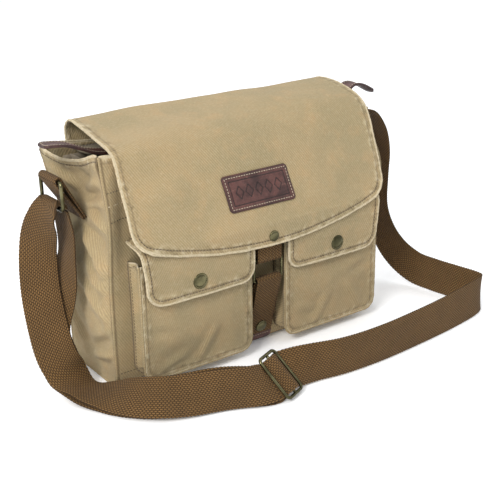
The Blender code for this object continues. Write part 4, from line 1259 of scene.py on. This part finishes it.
def leather_strip(name, node, sheet, rows, rounding, stitch_name, stitch_lines):
    """A strip of leather with softened edges, sewn through with cream thread."""
    piece = sheet.make(name, rows, BAG, LEATHER, "leather")
    soften(piece, rounding)
    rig.replaces(piece, node)
    sheet.stitch(stitch_name, stitch_lines, BAG, **ON_LEATHER)


def soften(obj, width):
    """Round a piece's sharp edges."""
    bevel = obj.modifiers.new("round", "BEVEL")
    bevel.width = width
    bevel.segments = 3
    bevel.limit_method = "ANGLE"
    bevel.angle_limit = radians(40)
    bevel.use_clamp_overlap = True


def dress(node, material, slot, width=0.0003):
    """Keep a CAD node and give it its finish and rounded edges."""
    obj = frame["nodes"][node]
    obj.data.materials.clear()
    obj.data.materials.append(material)
    obj.data.shade_smooth()
    soften(obj, width)
    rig.slot(obj, slot)


def make_small_metal():
    for node in ("zip_slider", "zip_pull", "zip_end_stop"):
        dress(node, ZIP_BRASS, "zip_metal")
    for name in ("left", "right"):
        for kind in ("socket", "stud", "back"):
            dress("pocket_snap_%s_%s" % (kind, name), BRASS, "antique_brass", 0.0002)
    for node in ("closure_magnet_flap", "closure_magnet_tab"):
        dress(node, BRASS, "antique_brass", 0.0002)


# ---------------------------------------------------------------- flap

FLAP_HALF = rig.box("flap_top_panel")[1].x
FLAP_CORNER = 0.016
# The bodies on the two sides of the flap's crease, and where it starts and ends to bend
FLAP_CREASE = ("flap_top", "flap_front", (0.0, -0.036, 0.2375), (0.0, -0.05, 0.2215))
# Both outlines run from the back seam, over the mouth and down the front; the left one hangs lower
FLAP_LEFT = [(0.0478, 0.22), (0.0498, 0.231), (0.047, 0.2395), (0.037, 0.245), (0.015, 0.242),
             (-0.009, 0.2375), (-0.028, 0.2325), (-0.0415, 0.2265), (-0.0462, 0.2215), (-0.054, 0.206),
             (-0.075, 0.15), (-0.0795, 0.14), (-0.0795, 0.118)]
FLAP_RIGHT = [(0.0478, 0.2215), (0.0486, 0.238), (0.0435, 0.2475), (0.033, 0.2522), (0.012, 0.2522),
              (-0.01, 0.249), (-0.029, 0.242), (-0.0415, 0.233), (-0.0448, 0.229), (-0.0535, 0.213),
              (-0.076, 0.15), (-0.0795, 0.14), (-0.0795, 0.118)]
FLAP_FOLDS = [
    (-0.15, 0.118, -0.06, 0.092, 0.016, 0.0026), (0.15, 0.112, 0.07, 0.096, 0.014, 0.002),
    (-0.11, 0.02, 0.02, 0.04, 0.017, 0.0018), (0.14, 0.03, 0.05, 0.05, 0.015, -0.0016),
    (-0.148, 0.17, -0.085, 0.16, 0.012, 0.0018), (0.148, 0.178, 0.095, 0.168, 0.012, 0.0016),
    (-0.06, 0.213, -0.015, 0.206, 0.01, 0.0014), (0.07, 0.214, 0.02, 0.206, 0.01, -0.0014),
]


def sheet_outline(columns, low_at):
    """The three free edges of a hanging sheet, down one side, along the bottom and up the other."""
    return ([(columns[0], 0.0)] + [(u, low_at(u)) for u in columns] + [(columns[-1], 0.0)])


def make_flap():
    """One cloth from the back seam to the front edge, which bends at its crease."""
    left = Route([(0.0, y, z) for y, z in FLAP_LEFT])
    right = Route([(0.0, y, z) for y, z in FLAP_RIGHT])
    long = (left.length + right.length) / 2

    def low_at(u):
        rise = 0.002 + 0.018 * (abs(u) / 0.125) ** 2
        return long - rise - round_off(FLAP_CORNER, abs(u) - (FLAP_HALF - FLAP_CORNER))

    def place(u, v):
        t = v / long
        point = left.at(t * left.length).lerp(right.at(t * right.length), (u + FLAP_HALF) / (2 * FLAP_HALF))
        ahead = left.direction(t * left.length)
        near_patch = hump(u, -0.008, 0.055) * hump(v, 0.17, 0.04)
        low = ease(v, long - 0.045, long - 0.015)
        swell = folds_at(u, v, FLAP_FOLDS) + waves((u, v, 0.0), 0.06, 0.002, 6.0)
        swell *= (1 - 0.85 * near_patch) * ease(v, 0.004, 0.04) * (1 - 0.55 * low)
        uneven = 0.4 + noise.noise(Vector((u * 40, v * 9, 1.0)))
        curl = 0.0016 * ease(v - low_at(u), -0.006, 0.0) * uneven
        return Vector((u, point.y, point.z)) + Vector((0.0, ahead.z, -ahead.y)) * (swell + curl)

    near_end = [0.018 * (1 - cos(pi / 2 * i / 9)) for i in range(10)]
    columns = [-FLAP_HALF + d for d in near_end] + even(-FLAP_HALF + 0.0205, FLAP_HALF - 0.0205, 96)
    columns += [FLAP_HALF - d for d in reversed(near_end)]
    coarse = columns[::3] + ([] if (len(columns) - 1) % 3 == 0 else [columns[-1]])
    top = [(-FLAP_HALF, 0.0), (FLAP_HALF, 0.0)]
    flap = Cloth(place, outward=-1.0, raw=[sheet_outline(coarse, low_at)], seams=[top])
    rows = [[(u, t * low_at(u)) for u in columns] for t in even(0.0, 1.0, 150)]
    piece = flap.make("flap_cloth", rows, FLAP_CREASE)
    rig.replaces(piece, "flap_top_panel", "flap_front_panel")
    outline = sheet_outline(columns, low_at)
    flap.roll("flap_frayed_edge", [outline], FLAP_CREASE)
    flap.stitch("flap_edge_stitches", [trimmed(inset(outline, -0.005), 0.01)], FLAP_CREASE)

    def band(u, v):
        point = relax(Vector((u, BACK, 0.2065 + v)))
        return Vector((u, BACK + 0.0012 + waves((u, v, 0.0), 0.03, 0.0004, 1.0), point.z))

    seam_band = Cloth(band, outward=-1.0, raw=[top])
    rows = flat_grid(even(-FLAP_HALF, FLAP_HALF, 90), even(0.0, 0.0122, 8))
    seam_band.make("flap_seam_band", rows)
    seam_band.stitch("flap_seam_stitches", [[(-FLAP_HALF + 0.003, v), (FLAP_HALF - 0.003, v)]
                                            for v in (0.003, 0.0098)], BAG)
    return flap, long


def trimmed(line, drop):
    """A line without its ends that lie nearer the sheet's sewn side."""
    return [p for p in line if p[1] > drop]


# ---------------------------------------------------------------- leather patch

def stamp_lines(half_x, half_y):
    """A pressed border and, inside it, a row of five diamonds."""
    x, y = half_x - 0.0062, half_y - 0.0062
    lines = [[(-x, -y), (x, -y), (x, y), (-x, y), (-x, -y)]]
    wide, tall = 0.0044, 0.0064
    for middle in (i * 0.0115 for i in range(-2, 3)):
        lines.append([(middle - wide, 0.0), (middle, tall), (middle + wide, 0.0), (middle, -tall),
                      (middle - wide, 0.0)])
    return lines


def make_patch(flap, long):
    """Maroon leather, sewn on along its rim and stamped with a border and five diamonds."""
    half_x, half_y, corner, centre_x = 0.039, 0.018, 0.0035, -0.008
    pressed = stamp_lines(half_x, half_y)
    centre_v = min(even(0.1, long, 600), key=lambda v: abs(flap.place(centre_x, v).z - 0.1755))

    def limit(b):
        return half_x - round_off(corner, abs(b) - (half_y - corner))

    def place(a, b):
        rim = ease(min(limit(b) - abs(a), half_y - abs(b)), 0.0, 0.0016)
        lift = 0.0014 + 0.0007 * rim + waves((a, b, 0.0), 0.016, 0.0003, 2.0)
        lift -= 0.0005 * (1 - ease(gap_to(a, b, pressed), 0.0005, 0.0012))
        return flap.at(centre_x + a - 0.1 * b, centre_v - b, lift)[0]

    bs = sorted({*even(-half_y + 0.0006, half_y - 0.0006, 84), half_y, -half_y})
    rows = [[(limit(b) * t, b) for t in even(-1.0, 1.0, 150)] for b in bs]
    ring = [(limit(b), b) for b in bs] + [(-limit(b), b) for b in reversed(bs)]
    ring.append(ring[0])
    patch = Cloth(place, raw=[ring[::6] + [ring[-1]]], seams=pressed, thickness=0.0012)
    piece = patch.make("leather_patch_stamped", rows, "flap_front", LEATHER, "leather")
    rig.replaces(piece, "leather_patch")
    x, y = half_x - 0.0026, half_y - 0.0026
    corners = [(-x, -y), (x, -y), (x, y), (-x, y), (-x, -y)]
    patch.stitch("leather_patch_stitches", zip(corners, corners[1:]), "flap_front", **ON_LEATHER)


# ---------------------------------------------------------------- pockets

POCKET_INNER, POCKET_OUTER = 0.0215, 0.146
POCKET_BASE, POCKET_TOP = (corner.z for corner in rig.box("pocket_face_left"))
POCKET_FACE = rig.box("pocket_face_left")[0].y
POCKET_FLAP_LINE = [(-0.0513, 0.156), (-0.056, 0.1535), (-0.068, 0.1462), (-0.0745, 0.1385),
                    (-0.0762, 0.13), (-0.0766, 0.115), (-0.0764, 0.1), (-0.0762, 0.087)]


def hanging_sheet(low, high, corner, long, row_count, column_count):
    """Rows and outline of a sheet that hangs from its top edge and has rounded lower corners."""
    vs = even(0.0, long - corner - 0.0005, row_count)
    vs += [long - corner * (1 - sin(pi / 2 * i / 11)) for i in range(12)]
    rows = []
    for v in vs:
        cut = round_off(corner, corner - (long - v))
        start, end = low(v) + cut, high(v) - cut
        rows.append([(start + (end - start) * t, v) for t in even(0.0, 1.0, column_count)])
    return rows, [row[0] for row in rows] + [row[-1] for row in reversed(rows)]


def make_pocket_flap(side, name):
    path = Route([(0.0, y, z) for y, z in POCKET_FLAP_LINE])
    long = path.length

    def outer(v):
        return 0.1462 - 0.0047 * ease(v, 0.01, long - 0.012)

    def place(u, v):
        point = path.at(v)
        middle = 0.5 * (POCKET_INNER + outer(v))
        swell = 0.0012 * hump(u, middle, 0.05) + waves((side * u, v, 0.0), 0.03, 0.001, 3.0 + side)
        swell *= ease(v, 0.012, 0.03) * (1 - 0.6 * hump(u, 0.085, 0.012) * hump(point.z, 0.102, 0.012))
        droop = 0.0045 * ease(u, 0.12, 0.15) * ease(v, 0.02, long)
        droop -= 0.009 * ease(u, 0.126, 0.15) * (1 - ease(v, 0.0, 0.03))
        return Vector((side * u, point.y - max(-0.0004, swell), point.z + droop))

    rows, outline = hanging_sheet(lambda v: 0.021 + 0.0012 * ease(v, 0.02, long), outer, 0.0135, long, 40, 60)
    flap = Cloth(place, outward=-side, raw=[outline[::2] + [outline[-1]]], seams=[[(0.02, 0.0), (0.15, 0.0)]])
    body = "pocket_flap_" + name
    piece = flap.make("pocket_flap_cloth_" + name, rows, body)
    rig.replaces(piece, "pocket_flap_" + name)
    flap.roll("pocket_flap_edge_" + name, [outline], body, 0.00115)
    flap.stitch("pocket_flap_stitches_" + name, [trimmed(inset(outline, -0.0048), 0.004)], body)


def pocket_side_path(side):
    """Middle line of the strip round a pocket's two sides and base, from its inner top."""
    low, radius = POCKET_BASE + 0.0009, 0.012
    inner, outer = POCKET_INNER + 0.0009, POCKET_OUTER - 0.0009
    path = [(inner, POCKET_TOP), (inner, 0.095), (inner, 0.06)]
    path += arc((inner + radius, low + radius), radius, 180, 270, 6)
    path += [(0.06, low), (0.085, low), (0.11, low)]
    path += arc((outer - radius, low + radius), radius, 270, 360, 6)
    path += [(outer, 0.06), (outer, 0.095), (outer + 0.001, POCKET_TOP)]
    return Route([(side * x, 0.0, z) for x, z in path], 4)


# (from x, from z, to x, to z, width, height), x measured outwards from the middle of the bag
POCKET_FOLDS = {
    "left": [(0.088, 0.018, 0.066, 0.048, 0.004, 0.002), (0.128, 0.02, 0.1, 0.03, 0.0042, 0.0018),
             (0.04, 0.02, 0.052, 0.05, 0.0045, 0.0016), (0.136, 0.06, 0.112, 0.054, 0.0045, -0.0014)],
    "right": [(0.06, 0.018, 0.076, 0.046, 0.0042, 0.0018), (0.124, 0.022, 0.104, 0.05, 0.0045, 0.002),
              (0.034, 0.04, 0.06, 0.034, 0.0042, 0.0014), (0.132, 0.066, 0.108, 0.062, 0.0045, -0.0014)],
}


def make_bellows(side, name):
    """The strip between a pocket's face and the front of the bag, pinched along its middle."""
    path = pocket_side_path(side)
    deep = (FRONT - 0.0004) - (POCKET_FACE + 0.0012)
    middle = Vector((side * 0.084, 0.0, 0.07))

    def place(u, v):
        point, ahead = path.at(u), path.direction(u)
        inward = Vector((-ahead.z, 0.0, ahead.x))
        if inward.dot(middle - point) < 0:
            inward = -inward
        inside = sin(pi * min(1.0, max(0.0, v / deep)))
        pinch = 0.0034 * inside ** 2 + waves((u, v, 0.0), 0.022, 0.0014, 5.0 + side) * inside
        point = point + inward * pinch
        return Vector((point.x, POCKET_FACE + 0.0012 + v, point.z))

    end = path.length
    bellows = Cloth(place, outward=-side, raw=[[(0.0, 0.0), (0.0, deep)], [(end, 0.0), (end, deep)]],
                    seams=[[(0.0, deep), (end, deep)]])
    rows = flat_grid(even(0.0, end, 150), even(0.0, deep, 13))
    piece = bellows.make("pocket_bellows_" + name, rows)
    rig.replaces(piece, "pocket_gusset_" + name)
    sewn = [[(0.004, deep - 0.0032), (end - 0.004, deep - 0.0032)]]
    sewn += [[(u, 0.002), (u, deep - 0.004)] for u in (0.0036, end - 0.0036)]
    bellows.stitch("pocket_bellows_stitches_" + name, sewn, BAG)


def make_pocket_face(side, name):
    """The pocket's front panel, full in its middle and piped along its sewn edges."""
    long = POCKET_TOP - POCKET_BASE

    def place(u, v):
        z = POCKET_TOP - v
        swell = 0.0026 * hump(z, 0.052, 0.036) * hump(u, 0.084, 0.05)
        swell += waves((side * u, z, 0.0), 0.03, 0.0016, 7.0 + side) * ease(v, 0.03, 0.05)
        swell += folds_at(u, z, POCKET_FOLDS[name])
        swell *= ease(min(u - POCKET_INNER, POCKET_OUTER - u, long - v), 0.0, 0.013)
        return Vector((side * u, POCKET_FACE + 0.001 - swell, z))

    rows, outline = hanging_sheet(lambda v: POCKET_INNER, lambda v: POCKET_OUTER, 0.013, long, 46, 58)
    raw = [outline[::2] + [outline[-1]], [(POCKET_INNER, 0.0), (POCKET_OUTER, 0.0)]]
    front = Cloth(place, outward=-side, raw=raw)
    piece = front.make("pocket_face_cloth_" + name, rows)
    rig.replaces(piece, "pocket_face_" + name)
    front.roll("pocket_piping_" + name, [outline], BAG, 0.00115, CANVAS)
    hems = [[(POCKET_INNER + 0.004, v), (POCKET_OUTER - 0.004, v)] for v in (0.006, 0.012)]
    front.stitch("pocket_face_stitches_" + name, hems, BAG)


def make_pocket(side, name):
    make_bellows(side, name)
    make_pocket_face(side, name)
    make_pocket_flap(side, name)


# ---------------------------------------------------------------- caps, closure strap, rings and tabs

BAR_CLEARANCE = 0.0005 + WEBBING_THICKNESS / 2    # from a bar's surface to the middle of the webbing
CLOSURE_TOP = (-0.0705, 0.103)                    # (y, z) of the ring's upper bar
CLOSURE_LOW = (-0.0698, 0.08)                     # and of its lower one
CLOSURE_SEAM = (-0.0532, 0.015)
CLOSURE_WIRE = 0.0016
CLOSURE_WIDTH = 0.03
TAB_WIDTH = 0.036


def dome_profile(radius, height):
    """A low crown inside a rolled rim."""
    crown = [(0.0, 1.0), (0.28, 0.985), (0.5, 0.94), (0.68, 0.85), (0.78, 0.74), (0.82, 0.66), (0.86, 0.66),
             (0.92, 0.72), (0.97, 0.64), (1.0, 0.42), (0.985, 0.14), (0.94, 0.0)]
    return [(radius * r, height * h) for r, h in crown]


def cap(node, name, radius, height, body, axis=TOWARDS_FRONT):
    low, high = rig.box(node)
    centre = (low + high) / 2 - axis * height / 2
    piece = lathe(name, dome_profile(radius, height), centre, axis, BRASS, body, "antique_brass")
    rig.replaces(piece, node)


def loop_round_bar(seam, bar, spread, radius):
    """Outline of a doubled strap: up from its seam, round a bar, and back down to the seam."""
    seam, bar = Vector(seam), Vector(bar)
    along = (bar - seam).normalized()
    side = Vector((-along.y, along.x))
    halfway, apart = (seam + bar) / 2, side * (spread + radius) / 2
    turns = [pi * step / 12 for step in range(13)]
    points = [seam + side * spread, halfway + apart]
    points += [bar + radius * (side * cos(turn) + along * sin(turn)) for turn in turns]
    return points + [halfway - apart, seam - side * spread]


def folded_tape(name, points, side, width):
    """A length of webbing along points, beaded along its edges."""
    centres = spaced(smooth_path(points, 5), BEAD / 4)
    return ribbon(name, centres, [side] * len(centres), width), Route(centres, 1)


def across_stitches(name, path, side, width, distances):
    """Rows of stitches across a tape, at distances along it."""
    lines = []
    for distance in distances:
        out = path.direction(distance).cross(side).normalized()
        middle, reach = path.at(distance) + out * 0.00105, side * (width / 2 - 0.003)
        lines.append([(p, out) for p in spaced([middle - reach, middle + reach], STITCH_PITCH / 4)])
    stitches(name, lines, BAG, WEBBING_THREAD, "webbing")


def make_closure():
    turn = CLOSURE_WIRE + BAR_CLEARANCE
    tapes = {}
    for name, seam, bar, spread in (("upper", (CLOSURE_TOP[0], 0.142), CLOSURE_TOP, turn),
                                    ("lower", CLOSURE_SEAM, CLOSURE_LOW, TAB_SPREAD)):
        points = [(0.0, y, z) for y, z in loop_round_bar(seam, bar, spread, turn)]
        tape, tapes[name] = folded_tape("closure_tape_" + name, points, TO_THE_RIGHT, CLOSURE_WIDTH)
        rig.replaces(tape, "closure_webbing_" + name)
    across_stitches("closure_tape_stitches", tapes["lower"], TO_THE_RIGHT, CLOSURE_WIDTH,
                    (0.004, 0.016, 0.056))
    piece = wire_ring("closure_ring_wire", (0.0, *CLOSURE_LOW), (0.0, *CLOSURE_TOP), TO_THE_RIGHT,
                      0.0172, 0.0036, CLOSURE_WIRE, BAG)
    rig.replaces(piece, "closure_ring")
    lean = (Vector(CLOSURE_LOW) - Vector(CLOSURE_SEAM)).normalized()
    cap("closure_rivet_cap", "closure_rivet_dome", 0.0066, 0.0022, BAG, Vector((0.0, -lean.y, lean.x)))
    cap("closure_cap", "closure_cap_dome", 0.0056, 0.002, "flap_front")
    make_closure_binding()


def make_closure_binding():
    """Leather wrapped round the foot of the closure's webbing, under the front of the bag."""
    bend = arc((FRONT + BASE_RADIUS, BASE_RADIUS), BASE_RADIUS + 0.001, 188, 252, 10)
    path = Route([(0.0, y, z) for y, z in bend], 3)
    half, long = 0.018, path.length

    def place(u, v):
        point = path.at(v)
        return Vector((u, point.y, max(point.z, 0.0009)))

    ring = [(-half, 0.0), (half, 0.0), (half, long), (-half, long), (-half, 0.0)]
    wrap = Cloth(place, outward=-1.0, raw=[ring], thickness=0.0014)
    rows = flat_grid(even(-half, half, 30), even(0.0, long, 24))
    leather_strip("closure_leather_binding", "closure_leather_wrap", wrap, rows, 0.0004,
                  "closure_leather_stitches", [[(-half + 0.003, 0.0022), (half - 0.003, 0.0022)]])


def make_sides():
    """The webbing tab and the wire ring on each gusset."""
    turn = WIRE + BAR_CLEARANCE
    for name, seam, near, far in (("left", (-0.169, 0.166), (-0.192, 0.2045), LEFT_BAR),
                                  ("right", (0.169, 0.152), (0.1745, 0.186), (0.1775, 0.2118))):
        points = [(x, 0.0, z) for x, z in loop_round_bar(seam, near, TAB_SPREAD, turn)]
        tape, path = folded_tape("side_tab_tape_" + name, points, TOWARDS_FRONT, TAB_WIDTH)
        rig.replaces(tape, "side_tab_" + name)
        across_stitches("side_tab_stitches_" + name, path, TOWARDS_FRONT, TAB_WIDTH,
                        (0.0035, 0.012, path.length - 0.012, path.length - 0.0035))
        piece = wire_ring("strap_ring_wire_" + name, (near[0], 0.0, near[1]), (far[0], 0.0, far[1]),
                          -TOWARDS_FRONT, STRAP_RING_WIDTH / 2, 0.0042, WIRE, "ring_" + name)
        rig.replaces(piece, "strap_ring_" + name)


# ---------------------------------------------------------------- assembly

make_camera()
make_studio()
make_strap()
make_wrap()
make_gusset(-1, "left")
make_gusset(1, "right")
make_lining()
make_zip()
make_zip_end_tabs()
make_small_metal()
flap, flap_length = make_flap()
make_patch(flap, flap_length)
for side, name in ((-1, "left"), (1, "right")):
    make_pocket(side, name)
    cap("pocket_snap_cap_" + name, "pocket_snap_dome_" + name, 0.008, 0.0026, "pocket_flap_" + name)
make_closure()
make_sides()

low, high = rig.bounds()
with open("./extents.json", "w") as report:
    json.dump([[list(corner) for corner in cad_box], [list(low), list(high)]], report)
